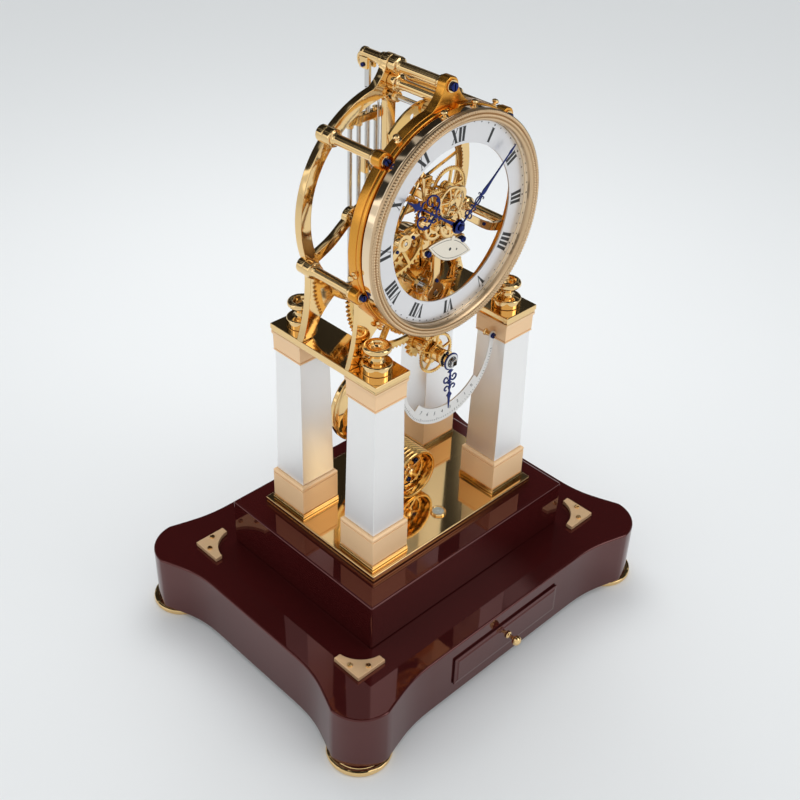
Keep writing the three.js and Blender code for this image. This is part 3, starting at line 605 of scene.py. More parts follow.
    def done(self, finish, body=FRAME, slot=None, replaces=(), sharp=50, cutter=None):
        """Places the piece, less the cutter, with its finish, its body and the CAD nodes it stands for.

        The slot is worked out from the finish, unless another is named, and is not used.
        """
        obj = self.place()
        mesh = obj.data
        if cutter:
            cut = obj.modifiers.new("opening", "BOOLEAN")
            cut.operation, cut.solver, cut.object = "DIFFERENCE", "EXACT", cutter
            graph = bpy.context.evaluated_depsgraph_get()
            mesh = bpy.data.meshes.new_from_object(obj.evaluated_get(graph))
            obj.modifiers.clear()
            obj.data = mesh
            bpy.data.objects.remove(cutter)
        work = bmesh.new()
        work.from_mesh(mesh)
        for f in work.faces:
            f.smooth = True
        for e in work.edges:
            e.smooth = not (len(e.link_faces) == 2 and e.calc_face_angle(0) > radians(sharp))
        work.to_mesh(mesh)
        work.free()
        mesh.materials.clear()
        mesh.materials.append(finish)
        normals = obj.modifiers.new("normals", "WEIGHTED_NORMAL")
        normals.keep_sharp = True
        normals.weight = 80
        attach(obj, body)
        slot = slot or SLOT_OF.get(finish)
        if replaces:
            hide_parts(*([replaces] if isinstance(replaces, str) else replaces))
        return obj


def disc(radius, low, high, ease=0.3, hole=0.0):
    """Profile of a turned disc or ring."""
    if hole:
        return soft([(hole, low), (radius, low), (radius, high), (hole, high)], ease, closed=True)
    return soft([(0, low), (radius, low), (radius, high), (0, high)], ease)


def above(level, pairs):
    """The (radius or inset, height) pairs with their heights counted from a level."""
    return [(size, level + height) for size, height in pairs]


SIDES = (("left", -1), ("right", 1))
CORNERS = [(f"{end}_{side}", sx, sy) for end, sy in (("front", -1), ("back", 1)) for side, sx in SIDES]

# ---- floor ----

FLOOR_HALF = 9000
floor = Piece("floor").plate([rect(-FLOOR_HALF, FLOOR_HALF, -FLOOR_HALF, FLOOR_HALF)], -20, 0, 0.5,
                             at=on_floor())
floor_object = floor.place(shift=(0, 0))
floor_object.data.materials.append(material(
    "floor_paper", (0.83, 0.84, 0.85), 0.7, metallic=0, spread=0.05, grain=(40, 40, 40), bump=0.01,
    tint=0.985, patch=1))

# ---- lacquered base ----

LOWER_Z = node_box("base_lower_tier")[2]
TOP = LOWER_Z[1]
CORNER = (186.5, 141.0)
CORNER_RADIUS = 40.0
WALL = (208.0, 167.0)
FLARE = 76.0


def lower_plan(depth):
    """Plan of the lower tier: a quarter-round post at each corner, and walls that sweep out to meet them."""
    cx, cy = CORNER
    r = CORNER_RADIUS - depth
    wx, wy = WALL[0] - depth, WALL[1] - depth
    sx, sy = cx - FLARE, cy - FLARE
    front = cubic((sx, -wy), (sx + 34, -wy), (cx - 30, -wy - 5), (cx, -cy - r))
    post = arc(cx, -cy, r, -90, 0, 18)
    right = cubic((cx + r, -cy), (wx + 7, -cy + 30), (wx, -sy - 34), (wx, -sy))
    quarter = front[:-1] + post + right[1:]
    half = quarter + [(x, -y) for x, y in reversed(quarter)]
    return half + [(-x, y) for x, y in reversed(half)]


def eased_levels(low, high, bottom, top):
    """(inset, height) pairs of a wall with round edges below and above."""
    steps = (0, 0.25, 0.5, 0.75, 1)
    down = [(bottom * (1 - sin(s * pi / 2)), low + bottom * (1 - cos(s * pi / 2))) for s in steps]
    up = [(top * (1 - cos(s * pi / 2)), high - top * (1 - sin(s * pi / 2))) for s in steps]
    return down + up


DRAWER_X, DRAWER_Y, DRAWER_Z = node_box("drawer")
lower = Piece("lower_tier")
lower.loft([[Vector((x, y, h)) for x, y in lower_plan(d)]
            for d, h in eased_levels(LOWER_Z[0], TOP, 1.0, 2.2)])
mouth = Piece("mouth").block((-77.8, 77.8), (-200, 5), (27, 58), 0.8)
lower.done(lacquer, replaces="base_lower_tier", cutter=mouth.place())

UPPER_X, UPPER_Y, UPPER_Z = node_box("base_upper_tier")
upper = Piece("upper_tier").block(UPPER_X, UPPER_Y, UPPER_Z, 1.8)
upper.done(lacquer, replaces="base_upper_tier")

for where, _, _ in CORNERS:
    (x0, x1), (y0, y1), _ = node_box(f"foot_{where}")
    profile = [(0, 0), (31.4, 0), (33.4, 0.9), (34, 3.4), (33.4, 5.9), (31.4, 6.9), (29.6, 6.9), (29.1, 6.3),
               (28.5, 6.3), (28, 7), (0, 7)]
    foot = Piece(f"foot_disc_{where}").lathe(soft(profile, 0.5), on_floor((x0 + x1) / 2, (y0 + y1) / 2), 96)
    foot.done(gold, replaces=f"foot_{where}")

LEG, ARM_WIDTH = 36.0, 8.0
for where, sx, sy in CORNERS:
    (x0, x1), (y0, y1), (z0, z1) = node_box(f"bracket_{where}")
    ox, oy = (x1 if sx > 0 else x0), (y1 if sy > 0 else y0)
    inner = arc(LEG + 4, LEG + 4, hypot(4, LEG + 4 - ARM_WIDTH), 180 + 82.9, 180 + 7.1, 20)
    outline = [(0, 0), (LEG, 0), (LEG, ARM_WIDTH), *inner[1:-1], (ARM_WIDTH, LEG), (0, LEG)]
    loop = filled([(ox - sx * a, oy - sy * b) for a, b in outline])
    bracket = Piece(f"corner_bracket_{where}").plate([loop], z0, z1, 0.5, at=on_floor())
    bracket.done(gold_bracket, replaces=f"bracket_{where}")
    screws = Piece(f"bracket_screws_{where}")
    for a, b, turn in ((5.1, 18, 20), (18, 5.1, 70)):
        spot = (Vector((ox - sx * a, oy - sy * b, z1)), AX, AY, AZ)
        screws.screw(spot, 2.9, 1.7, turn * sx, dome=True)
    screws.done(gold)

# ---- drawer ----

PANEL_BACK = DRAWER_Y[0] + 3.3
face = facing(0, (DRAWER_Z[0] + DRAWER_Z[1]) / 2 - Z0, PANEL_BACK)
half_x, half_z = DRAWER_X[1], (DRAWER_Z[1] - DRAWER_Z[0]) / 2
panel_edge = ((0.6, 0), (0, 0.5), (0, 1.7), (0.4, 2.0), (3.0, 2.2), (3.4, 2.4), (4.4, 3.1), (5.0, 3.3))
panel = Piece("drawer_panel").moulded((-half_x, half_x), (-half_z, half_z), panel_edge, 0.8, at=face)
panel.done(lacquer, body="drawer", replaces="drawer")
tray = Piece("drawer_tray")
tray_x, tray_y = (-77, 77), (PANEL_BACK - 0.4, DRAWER_Y[1])
tray_z = (DRAWER_Z[0] + 4, DRAWER_Z[1] - 4)
walls = shape([rect(*tray_x, *tray_y)], [rect(tray_x[0] + 4, tray_x[1] - 4, tray_y[0] + 4, tray_y[1] - 4)])
tray.plate(walls, tray_z[0] + 2.8, tray_z[1], 0.6, at=on_floor())
tray.block(tray_x, tray_y, (tray_z[0], tray_z[0] + 3), 0.5)
tray.done(lacquer, body="drawer")
lining = Piece("drawer_lining")
lining.block((tray_x[0] + 4.3, tray_x[1] - 4.3), (tray_y[0] + 4.3, tray_y[1] - 4.3),
             (tray_z[0] + 3.1, tray_z[0] + 5), 0.7)
lining.done(felt, body="drawer")

KNOB_Y, KNOB_Z = node_box("drawer_knob")[1:]
knob = facing(0, (KNOB_Z[0] + KNOB_Z[1]) / 2 - Z0, KNOB_Y[1])
profile = [(0, 0), (4.2, 0), (4.2, 1.3), (3.2, 1.9), (2.1, 2.6), (1.9, 5.2), (2.4, 7.2), (2.4, 7.9),
           (3.2, 8.1), (4.9, 9.4), (5.7, 11.6), (5.3, 13.8), (4.1, 15.4), (2.2, 16.5), (0, 17.1)]
knob_ball = Piece("drawer_knob_ball").lathe(soft(profile, 0.7), knob, 48)
knob_ball.done(gold, body="drawer", replaces="drawer_knob")

# ---- plate with its level, and the ribbed drum ----

PLATE_X, PLATE_Y, PLATE_Z = node_box("base_plate")
PLATE_TOP = PLATE_Z[1] - 3
plate_edge = above(PLATE_Z[0], ((0.5, 0), (0, 0.5), (0, 2.3), (0.7, 2.6), (0.7, 3.2), (0.1, 3.5)))
plate_edge += above(PLATE_TOP, ((0.1, -1.0), (0.4, -0.3), (1.1, 0)))
plate = Piece("mirror_plate").moulded(PLATE_X, PLATE_Y, plate_edge, 1.0)
plate.done(gold, replaces="base_plate")

LEVEL_AT = on_floor(0, -59.4)
ring = above(PLATE_TOP, ((6.4, 0), (8.5, 0), (8.5, 1.6), (7.9, 2.7), (6.9, 2.9), (6.2, 2.2)))
level_ring = Piece("level_ring").lathe(soft(ring, 0.4, closed=True), LEVEL_AT, 64, closed=True)
level_ring.done(gold)
vial = above(PLATE_TOP, ((0, 0), (6.3, 0), (6.2, 1.5), (4, 1.9), (0, 2.1)))
Piece("level_vial").lathe(vial, LEVEL_AT, 48).done(glass)
mark = Piece("level_marks")
mark.lathe(disc(2.7, PLATE_TOP + 2.0, PLATE_TOP + 2.25, 0.08, hole=2.3), LEVEL_AT, 40, closed=True)
mark.lathe(disc(4.7, PLATE_TOP + 1.75, PLATE_TOP + 1.95, 0.08, hole=4.4), LEVEL_AT, 40, closed=True)
mark.done(enamel)

DRUM_X, DRUM_Y, DRUM_Z = node_box("ribbed_drum")
drum_radius, drum_front, drum_back = DRUM_X[1], DRUM_Y[0], DRUM_Y[1]
drum_z = DRUM_Z[1] - drum_radius - Z0
RIBS, MOUTH_RADIUS, MOUTH_FLOOR = 9, 25.4, drum_front + 16
pitch = (drum_back - drum_front - 2) / RIBS
profile = [(0, MOUTH_FLOOR), (MOUTH_RADIUS - 0.6, MOUTH_FLOOR), (MOUTH_RADIUS, MOUTH_FLOOR - 0.6),
           (MOUTH_RADIUS, drum_front + 1), (MOUTH_RADIUS + 0.5, drum_front), (drum_radius - 0.6, drum_front)]
for rib in range(RIBS):
    y = drum_front + 0.4 + rib * pitch
    profile += [(drum_radius - 1.4, y), (drum_radius - 1.2, y + 0.4), (drum_radius, y + 1.1),
                (drum_radius, y + pitch - 1.5), (drum_radius - 1.2, y + pitch - 0.8)]
profile += [(drum_radius - 1.6, drum_back - 0.8), (drum_radius - 3, drum_back), (0, drum_back)]
drum = Piece("ribbed_barrel").lathe(soft(profile, 0.35, 2), in_dial(0, drum_z), 96)
drum.block((-14, 14), (-16, 16), (DRUM_Z[0], DRUM_Z[0] + 5), 0.7)
drum.done(gold_wheel, slot="gold_satin", replaces="ribbed_drum")
ratchet = teeth_round(24, ((20.6, 0), (22.6, 0.1), (22.6, 0.35), (20.6, 0.85)), (0, drum_z))
works = Piece("barrel_works")
works.plate(shape([ratchet], windows(0, drum_z, 7, 18, 5, 0.4, 3.0)),
            MOUTH_FLOOR - 6, MOUTH_FLOOR - 3.4, 0.3)
works.lathe(soft([(0, 0), (6.4, 0), (6.4, 5), (4.6, 6.4), (4.6, 9), (3.2, 10.4), (0, 10.8)], 0.5),
            facing(0, drum_z, MOUTH_FLOOR + 0.1), 40)
works.done(gold)
pins = Piece("barrel_screws")
for angle in (35, 155, 275):
    x, z = polar(13.5, angle)
    works_at = facing(x, drum_z + z, MOUTH_FLOOR + 0.1)
    pins.screw(works_at, 3.2, 5.4, angle)
pins.done(blued)

# ---- columns ----

for where, _, _ in CORNERS:
    (x0, x1), (y0, y1), (z0, z1) = node_box(f"column_base_{where}")
    x, y = (x0 + x1) / 2, (y0 + y1) / 2
    plinth = Piece(f"column_plinth_{where}")
    plinth.stack(above(z0, ((24.9, 0), (25.2, 0.3), (25.2, 2.6), (24.9, 3.0), (24.3, 3.1), (24.3, 3.6),
                            (25.0, 3.7), (25.0, 5.2), (24.7, 5.5), (23.4, 5.5))), x, y)
    plinth.done(gold)
    base = Piece(f"column_foot_{where}")
    levels = above(z0, ((23.4, 5.4), (23.4, 6.2), (24.1, 6.3), (24.3, 6.5), (24.3, 35.3), (24.1, 35.5),
                        (23.3, 35.6), (23.3, 36.4), (24.1, 36.5), (24.3, 36.8)))
    base.stack(levels + above(z1, ((24.3, -2.2), (24.0, -1.5), (22.8, -0.3), (22.3, 0))), x, y)
    base.done(gold_satin, replaces=f"column_base_{where}")
    s0, s1 = node_box(f"column_shaft_{where}")[2]
    shaft = Piece(f"column_body_{where}")
    shaft.stack([(20.9, s0), (21.2, s0 + 0.3), (18.95, s1 - 0.3), (18.6, s1)], x, y, 0.5)
    shaft.done(silver_satin, replaces=f"column_shaft_{where}")
    c0, c1 = node_box(f"column_capital_{where}")[2]
    capital = Piece(f"column_head_{where}")
    levels = above(c0, ((19.3, 0), (19.8, 0.4), (20.3, 0.8), (20.5, 1.2), (20.5, 2.0), (20.2, 2.3),
                        (19.4, 2.5), (19.4, 3.1), (20.1, 3.2), (20.3, 3.5)))
    capital.stack(levels + above(c1, ((20.4, -4.6), (20.9, -3.4), (21.5, -2.4), (21.6, 0))), x, y, 0.5)
    capital.done(gold_satin, replaces=f"column_capital_{where}")
    n0, n1 = node_box(f"nut_{where}")[2]
    ring = [(10.4 + 3.5 * cos(radians(a)), n1 - 3.6 + 3.5 * sin(radians(a))) for a in range(-130, 170, 20)]
    profile = above(n0, ((0, 0), (14.7, 0), (15, 0.4), (15, 7.6), (14.6, 8.6), (13.4, 9.4), (11.5, 9.8),
                         (8.6, 10.4), (6.6, 12.0), (6.0, 14.5), (6.3, 17.2)))
    profile += ring + above(n1, ((6.4, -4.6), (4.4, -6.4), (2.4, -6.9), (0, -6.9)))
    nut = Piece(f"column_nut_{where}").lathe(soft(profile, 0.35, 2), on_floor(x, y), 72)
    nut.done(gold, replaces=f"nut_{where}")

for side, _ in SIDES:
    slab_x, slab_y, (z0, z1) = node_box(f"entablature_{side}")
    slab_edge = above(z0, ((1.0, 0), (0.7, 0.4), (0.7, 2.2), (0.2, 2.7), (0, 3.2)))
    slab_edge += above(z1, ((0, -0.9), (0.3, -0.3), (0.9, 0)))
    slab = Piece(f"slab_{side}").moulded(slab_x, slab_y, slab_edge, 0.6)
    slab.done(gold, replaces=f"entablature_{side}")

# ---- the two frames ----

PILLARS = {"top": 90, "upper_left": 134, "upper_right": 46, "lower_left": 202, "lower_right": -22}
PILLAR_RADIUS = 111.0
FRONT_RING, FRONT_BAND, BACK_RING, BACK_BRIDGE = (-46, -36), (-50.4, -45.9), (26.5, 35), (27.2, 34.4)
EAR_Z = 126.5
CENTER, INTERMEDIATE, THIRD, ESCAPE = (0, 0), (-46, -10), (24, 16), (0, 28)
ANCHOR, GREAT, WINDING, MOTION, IDLER = (0, 97.7), (0, -80), (0, -146), (-17.8, 1.2), (-2.6, 22)
SLAB_TOP = node_box("entablature_left")[2][1] - Z0


def leg(sx):
    """Scimitar leg from the ring down to the slab."""
    outer = bend((sx * 101, -42), (sx * 99, -88), (sx * 112, SLAB_TOP + 0.3), 18)
    inner = bend((sx * 98.5, SLAB_TOP + 0.3), (sx * 87, -94), (sx * 66, -82), 18)
    return filled(outer + inner)


def ear():
    left = bend((-40, 99), (-13, 110), (-8.5, EAR_Z), 14)
    return (left[:-1] + arc(0, EAR_Z, 8.5, 180, 0, 20) + [(-x, z) for x, z in reversed(left[:-1])])[::-1]


def arms(side, width):
    if side < 0:
        line = [polar(105, 202), (-72, -28), INTERMEDIATE, (-22, -3), CENTER]
    else:
        line = [polar(105, -22), (70, -32), (42, -14), (20, 0), CENTER]
    return stroke(smooth_line(line), width, width * 0.75, width)


lobes = [circle(*polar(PILLAR_RADIUS, a), 7.9, 36) for a in PILLARS.values()]
bore = circle(0, 0, 98, 160)

front = Piece("front_ring")
front.plate(shape([circle(0, 0, 110.4, 180), *lobes, ear()], [bore]), *FRONT_RING, 0.9)
front.done(gold_band, replaces="front_frame")
band = Piece("front_band")
notches = [circle(*polar(PILLAR_RADIUS, a), 6.2, 32) for a in PILLARS.values()]
band.plate(shape([circle(0, 0, 110, 180)], [bore, *notches]), *FRONT_BAND, 0.9)
band.done(gold_band)

bridge = Piece("front_bridges")
joined = [arms(-1, 9), arms(1, 9), circle(*INTERMEDIATE, 8.6), circle(*THIRD, 8.6), circle(0, 0, 11),
          stroke([THIRD, (22, 0)], 9)]
holes = [circle(0, 0, 4.6, 32), circle(*INTERMEDIATE, 2.2, 20), circle(*THIRD, 2.2, 20)]
bridge.plate(shape(joined, holes), -42, -36, 0.8)
stem = [(-5.5, -2), (-4.2, -40), (-4.2, -60), (-5.5, -70), (-5.5, -152), (5.5, -152), (5.5, -70), (4.2, -60),
        (4.2, -40), (5.5, -2)]
bridge.plate(shape([stem, circle(*GREAT, 11), circle(*WINDING, 14, 40)],
                   [circle(*GREAT, 3.6, 24), circle(*WINDING, 8, 32), circle(0, 0, 4.6, 32)]), -40, -34, 0.8)
bridge.plate(shape([rect(-5, 5, -56, 34), stroke([(0, 6), THIRD], 9), circle(*THIRD, 7)],
                   [circle(0, 0, 2, 20), circle(*ESCAPE, 2.6, 20), circle(*THIRD, 2, 20)]), -24, -20, 0.6)
bridge.block((-5, 5), (-36.5, -20), (Z0 - 57, Z0 - 46), 0.8)
bridge.lathe(disc(7.2, -46.4, -36, 0.7), in_dial(0, 96), 40)
bridge.done(gold_frame)

legs = Piece("front_legs")
for side in (-1, 1):
    legs.plate([leg(side)], -39, -33.5, 0.7)
legs.done(gold_frame)

back = Piece("back_ring")
spine = stroke([(0, 104), (0, 40), (0, -60), (0, -104)], 12, 9, 12)
back_holes = [circle(*at, 2, 20) for at in (INTERMEDIATE, ESCAPE)]
back_holes += [circle(*at, 3.6, 24) for at in (GREAT, ANCHOR)]
back.plate(shape([circle(0, 0, 110.6, 180), *lobes, ear(), leg(-1), leg(1)], [bore]), *BACK_RING, 0.9)
back.done(gold_frame, replaces="back_frame")
back_bridge = Piece("back_bridges")
back_bridge.plate(shape([spine, arms(-1, 11), arms(1, 11), circle(*INTERMEDIATE, 9.5), circle(*ESCAPE, 9.5),
                         circle(*GREAT, 11), circle(*ANCHOR, 8)], back_holes), *BACK_BRIDGE, 0.8)
back_bridge.done(gold_frame)

for where, angle in PILLARS.items():
    tube = Piece(f"pillar_tube_{where}")
    spots = [polar(PILLAR_RADIUS, angle)] + ([(0, EAR_Z)] if where == "top" else [])
    for spot in spots:
        profile = [(0, -35.7), (7, -35.7), (7, -33.4), (6.2, -32.7), (5.5, -32.5), (5.4, -31.6), (5, -31),
                   (5, 13.5), (5.6, 14.4), (5.6, 15.6), (6.6, 16.4), (8, 16.8), (8.4, 18), (8.4, 24.8),
                   (8, 26.2), (0, 26.2)]
        tube.lathe(soft(profile, 0.45, 2), in_dial(*spot), 48)
    tube.done(gold, replaces=f"pillar_{where}")
    nuts = Piece(f"pillar_nuts_{where}")
    for x, z in spots:
        hexagon = circle(x, z, 4.6, 6)
        nuts.plate([soft(hexagon, 0.5, closed=True)], 35.1, 38.2, 0.5)
        nuts.lathe(soft([(0, 0), (2.3, 0), (2.3, 4.6), (1.7, 5.2), (0, 5.3)], 0.3), facing(x, z, 35, 1), 28)
    nuts.done(gold)
    screws = Piece(f"pillar_screws_{where}")
    washers = Piece(f"pillar_washers_{where}")
    for x, z in spots[-1:]:
        head = 4.2 if (x, z) == (0, EAR_Z) else 3.3
        washers.lathe(disc(head + 1.7, 0, 1.4, 0.4, hole=head - 1), facing(x, z, -46.1), 40, closed=True)
        screws.screw(facing(x, z, -46.9), head, 3.6, angle + x)
    washers.done(gold)
    screws.done(blued)

# Small ball-headed clamps on the edge of the ring.
clamps = Piece("rim_clamps")
for angle, y, radius in ((122.7, -43, 110.2), (99.7, -56.5, 108.2), (80.3, -56.5, 108.2), (57.3, -43, 110.2),
                         (190, -43, 110.2), (228, -43, 110.2), (312, -43, 110.2), (-10, -43, 110.2)):
    spot = outward(angle, radius, y)
    clamps.lathe(soft([(0, -0.6), (3.6, -0.6), (3.6, 0.8), (2.4, 1.4), (1.6, 2.0), (1.6, 2.6), (2.9, 3.4),
                       (3.3, 4.6), (2.8, 5.8), (1.4, 6.6), (0, 6.8)], 0.3, 2), spot, 28)
clamps.done(gold)

# ---- dial ----

profile = [(98, -51.0), (107.4, -51.0), (108.4, -52.0), (108.4, -59.9), (107.5, -60.8), (98, -60.8),
           (98, -57.4), (97.6, -57.2), (97.6, -55.3), (95.6, -55.1), (95.6, -54.2), (98, -53.6)]
rim = Piece("polished_rim").lathe(soft(profile, 0.3, 2, closed=True), in_dial(), 240, closed=True)
rim.done(gold_turned, replaces="dial_rim")

ROPE_COUNT = 240
OUTER_ROPE, INNER_ROPE = (106.6, -64.6), (103.1, -65.1)      # middles of the two half-round rows
rope_profile = [(97.7, -61.2), (108.5, -61.2), (108.8, -61.5), (108.8, -62.6), (108.2, -63.0), (107.9, -63.3)]
first_rope = len(rope_profile)
rope_profile += [(OUTER_ROPE[0] + 1.75 * cos(radians(a)), OUTER_ROPE[1] - 1.75 * sin(radians(a)))
                 for a in range(0, 190, 20)]
second_rope = len(rope_profile)
rope_profile += [(INNER_ROPE[0] + 1.5 * cos(radians(a)), INNER_ROPE[1] - 1.5 * sin(radians(a)))
                 for a in range(10, 185, 20)]
rope_end = len(rope_profile)
rope_profile += [(101.2, -64.9), (100.9, -65.5), (100.1, -65.7), (98.6, -64.6), (97.9, -63.7), (97.7, -63.3)]


def rope(a, k, radius, height):
    """Diagonal ridges on the two half-round rows of the bezel."""
    if first_rope <= k < second_rope:
        turn = ROPE_COUNT * a + 2.6 * (k - first_rope) / (second_rope - first_rope)
        centre = OUTER_ROPE
    elif second_rope <= k < rope_end:
        turn = ROPE_COUNT * a - 2.6 * (k - second_rope) / (rope_end - second_rope)
        centre = INNER_ROPE
    else:
        return radius, height
    grow = 1 + 0.24 * cos(turn)
    return centre[0] + (radius - centre[0]) * grow, centre[1] + (height - centre[1]) * grow


bezel = Piece("rope_bezel").lathe(rope_profile, in_dial(), ROPE_COUNT * 5, closed=True, ripple=rope)
bezel.done(gold_bezel, replaces="bezel", sharp=80)

chapter = Piece("chapter_disc")
chapter.plate(shape([circle(0, 0, 97.4, 240)], [circle(0, 0, 76, 200)]), -57, -55.4, 0.25)
chapter.done(dial_silver, replaces="chapter_ring")

# Roman numerals: strokes drawn in (across, up) millimetres, 13.6 high, then bent round the ring.
LETTER_HIGH = 13.6
THICK, THIN = 3.1, 0.7
NUMERAL_RADIUS = 85.6


def letter(kind, x):
    """Outlines of one letter whose left side is at x, and its width."""
    h = LETTER_HIGH / 2
    serif = 0.45
    if kind == "I":
        return [rect(x, x + THICK, -h, h), rect(x - serif, x + THICK + serif, h - serif, h),
                rect(x - serif, x + THICK + serif, -h, -h + serif)], THICK
    if kind == "V":
        wide = 7.4
        left = [(x, h), (x + THICK, h), (x + wide / 2 + 0.75, -h), (x + wide / 2 - 0.15, -h)]
        right = [(x + wide - THIN, h), (x + wide, h), (x + wide / 2 + 0.6, -h), (x + wide / 2, -h)]
        marks = [rect(x - serif, x + THICK + serif, h - serif, h),
                 rect(x + wide - 1.4, x + wide + 0.6, h - serif, h)]
        return [left[::-1], right[::-1], *marks], wide
    wide = 7.6
    heavy = [(x, h), (x + THICK, h), (x + wide, -h), (x + wide - THICK, -h)]
    light = [(x + wide - THIN - 0.3, h), (x + wide - 0.3, h), (x + THIN + 0.3, -h), (x + 0.3, -h)]
    marks = [rect(x - serif, x + THICK + serif, h - serif, h),
             rect(x + wide - THICK - serif, x + wide + serif, -h, -h + serif),
             rect(x + wide - 1.8, x + wide + 0.4, h - serif, h), rect(x - 0.4, x + 1.8, -h, -h + serif)]
    return [heavy[::-1], light[::-1], *marks], wide


def numeral(text, hour):
    """Outlines of a numeral with its foot to the centre of the dial."""
    gap = 1.5
    outlines, x = [], 0.0
    for kind in text:
        parts, wide = letter(kind, x)
        outlines.extend(parts)
        x += wide + gap
    half = (x - gap) / 2
    middle = radians(90 - 30 * hour)
    out = []
    for loop in outlines:
        fine = []
        for a, b in zip(loop, loop[1:] + loop[:1]):
            fine.extend((a[0] + (b[0] - a[0]) * t / 4, a[1] + (b[1] - a[1]) * t / 4) for t in range(4))
        bent = [(NUMERAL_RADIUS + v, middle - (u - half) / NUMERAL_RADIUS) for u, v in fine]
        out.append([(r * cos(t), r * sin(t)) for r, t in bent])
    return out


figures = Piece("hour_numerals")
for hour, text in enumerate("I II III IIII V VI VII VIII IX X XI XII".split(), 1):
    figures.plate(shape(numeral(text, hour)), -57.14, -56.9, 0.05)
figures.done(enamel)
dots = Piece("minute_dots")
for minute in range(60):
    dots.lathe(disc(0.9 if minute % 5 == 0 else 0.66, -57.12, -56.9, 0.05),
               in_dial(*polar(95.0, minute * 6)), 14)
dots.done(enamel)

LEAF_AT, LEAF_SLOPE, LEAF_HALF, LEAF_RISE, LEAF_BAR_Z = (5.2, -30.2), 21.2, 31, 11.4, -26
half_edge = bend((-LEAF_HALF, 0), (-LEAF_HALF * 0.42, LEAF_RISE * 1.04), (0, LEAF_RISE), 14)
half_edge += [(-x, z) for x, z in reversed(half_edge[:-1])]


def leaf(across, up):
    """The leaf's outline, drawn smaller by a share of its length and of its height."""
    loop = half_edge + [(x, -z) for x, z in reversed(half_edge[1:-1])]
    loop = turned([(x * across, z * up) for x, z in loop], LEAF_SLOPE)
    return [(LEAF_AT[0] + x, LEAF_AT[1] + z) for x, z in reversed(loop)]


cock = Piece("leaf_cock")
cock.plate([leaf(1, 1)], -50, -47.6, 0.4)
cock.lathe(disc(2.6, -51, -49.8, 0.3), in_dial(8, -19.5), 24)
cock.done(cock_silver, replaces="cock_plate")
bar = Piece("leaf_bar")
bar.plate([soft(rect(-27, 27, LEAF_BAR_Z - 4, LEAF_BAR_Z + 4), 2.4, 5, closed=True)], -47.8, -44.4, 0.5)
bar.lathe(disc(4, -45, -40.3, 0.3), in_dial(0, LEAF_BAR_Z), 32)
bar.done(gold)
trim = Piece("leaf_cock_line")
trim.plate(shape([leaf(0.88, 0.8)], [leaf(0.862, 0.76)]), -50.06, -49.9, 0.03)
leaf_dots = [circle(*LEAF_AT, 1.6, 20), circle(LEAF_AT[0] + 9, LEAF_AT[1] - 3, 1.0, 16)]
trim.plate(shape(leaf_dots), -50.06, -49.9, 0.03)
trim.done(enamel)
pins = Piece("leaf_cock_screws")
for side in (-1, 1):
    pins.screw(facing(side * 22.8, LEAF_BAR_Z, -47.6), 3.2, 3.6, 20 + 60 * side, dome=True)
pins.done(blued)

# ---- wheels ----


def mesh_pair(a, b, teeth_a, teeth_b):
    """Module and tooth phases of two wheels that mesh."""
    towards = atan2(b[1] - a[1], b[0] - a[0])
    module = 2 * hypot(b[0] - a[0], b[1] - a[1]) / (teeth_a + teeth_b)
    return (module, teeth_a, towards, a), (module, teeth_b, towards + pi + pi / teeth_b, b)


def toothed(wheel):
    module, teeth, phase, (x, z) = wheel
    pitch = module * teeth / 2
    step = 2 * pi / teeth
    tip, root = pitch + 0.62 * module, pitch - 1.15 * module
    form = ((root, -0.29), (pitch - 0.1 * module, -0.225), (tip - 0.12 * module, -0.12), (tip, -0.05),
            (tip, 0.05), (tip - 0.12 * module, 0.12), (pitch - 0.1 * module, 0.225), (root, 0.29))
    return [(x + r * cos(phase + (i + o) * step), z + r * sin(phase + (i + o) * step))
            for i in range(teeth) for r, o in form]


def wheel_plate(piece, wheel, low, high, spokes=0, hole=0.0, bevel=0.25):
    module, teeth, phase, (x, z) = wheel
    cuts = [circle(x, z, hole, 32)] if hole else []
    if spokes:
        pitch = module * teeth / 2
        rim = pitch - 1.15 * module - max(2.4, 0.07 * pitch)
        cuts += windows(x, z, max(7.0, 0.2 * pitch), rim, spokes, phase, max(2.6, 0.085 * pitch))
    piece.plate(shape([toothed(wheel)], cuts), low, high, bevel)


def arbor(piece, at, spans):
    """A turned arbor; spans holds (radius, from, to) from front to back."""
    for radius, low, high in spans:
        piece.lathe(disc(radius, low, high, 0.25), in_dial(*at), 32)


GREAT_PAIR = mesh_pair(GREAT, INTERMEDIATE, 96, 9)
FIRST_PAIR = mesh_pair(INTERMEDIATE, CENTER, 48, 8)
SECOND_PAIR = mesh_pair(CENTER, THIRD, 48, 8)
THIRD_PAIR = mesh_pair(THIRD, ESCAPE, 60, 12)
WIND_PAIR = mesh_pair(WINDING, GREAT, 15, 54)

great = Piece("great_wheel_rim")
wheel_plate(great, GREAT_PAIR[0], 0, 4, 6, hole=6.4, bevel=0.35)
great.done(gold_wheel, body="great_wheel", replaces="great_wheel")
barrel = Piece("great_barrel")
profile = [(9.2, 4.1), (49.4, 4.1), (50, 4.7), (50, 6.2), (49.2, 6.8), (49.2, 20.2), (50, 20.8), (50, 22.4),
           (49.2, 23), (30, 23), (29, 22.4), (12, 22.4), (11.4, 23), (9.2, 23)]
barrel.lathe(soft(profile, 0.3, 2, closed=True), in_dial(*GREAT), 128, closed=True)
barrel.lathe(disc(9.4, 0.2, 24, 0.4, hole=4.0), in_dial(*GREAT), 40, closed=True)
barrel.done(gold, body="great_wheel")

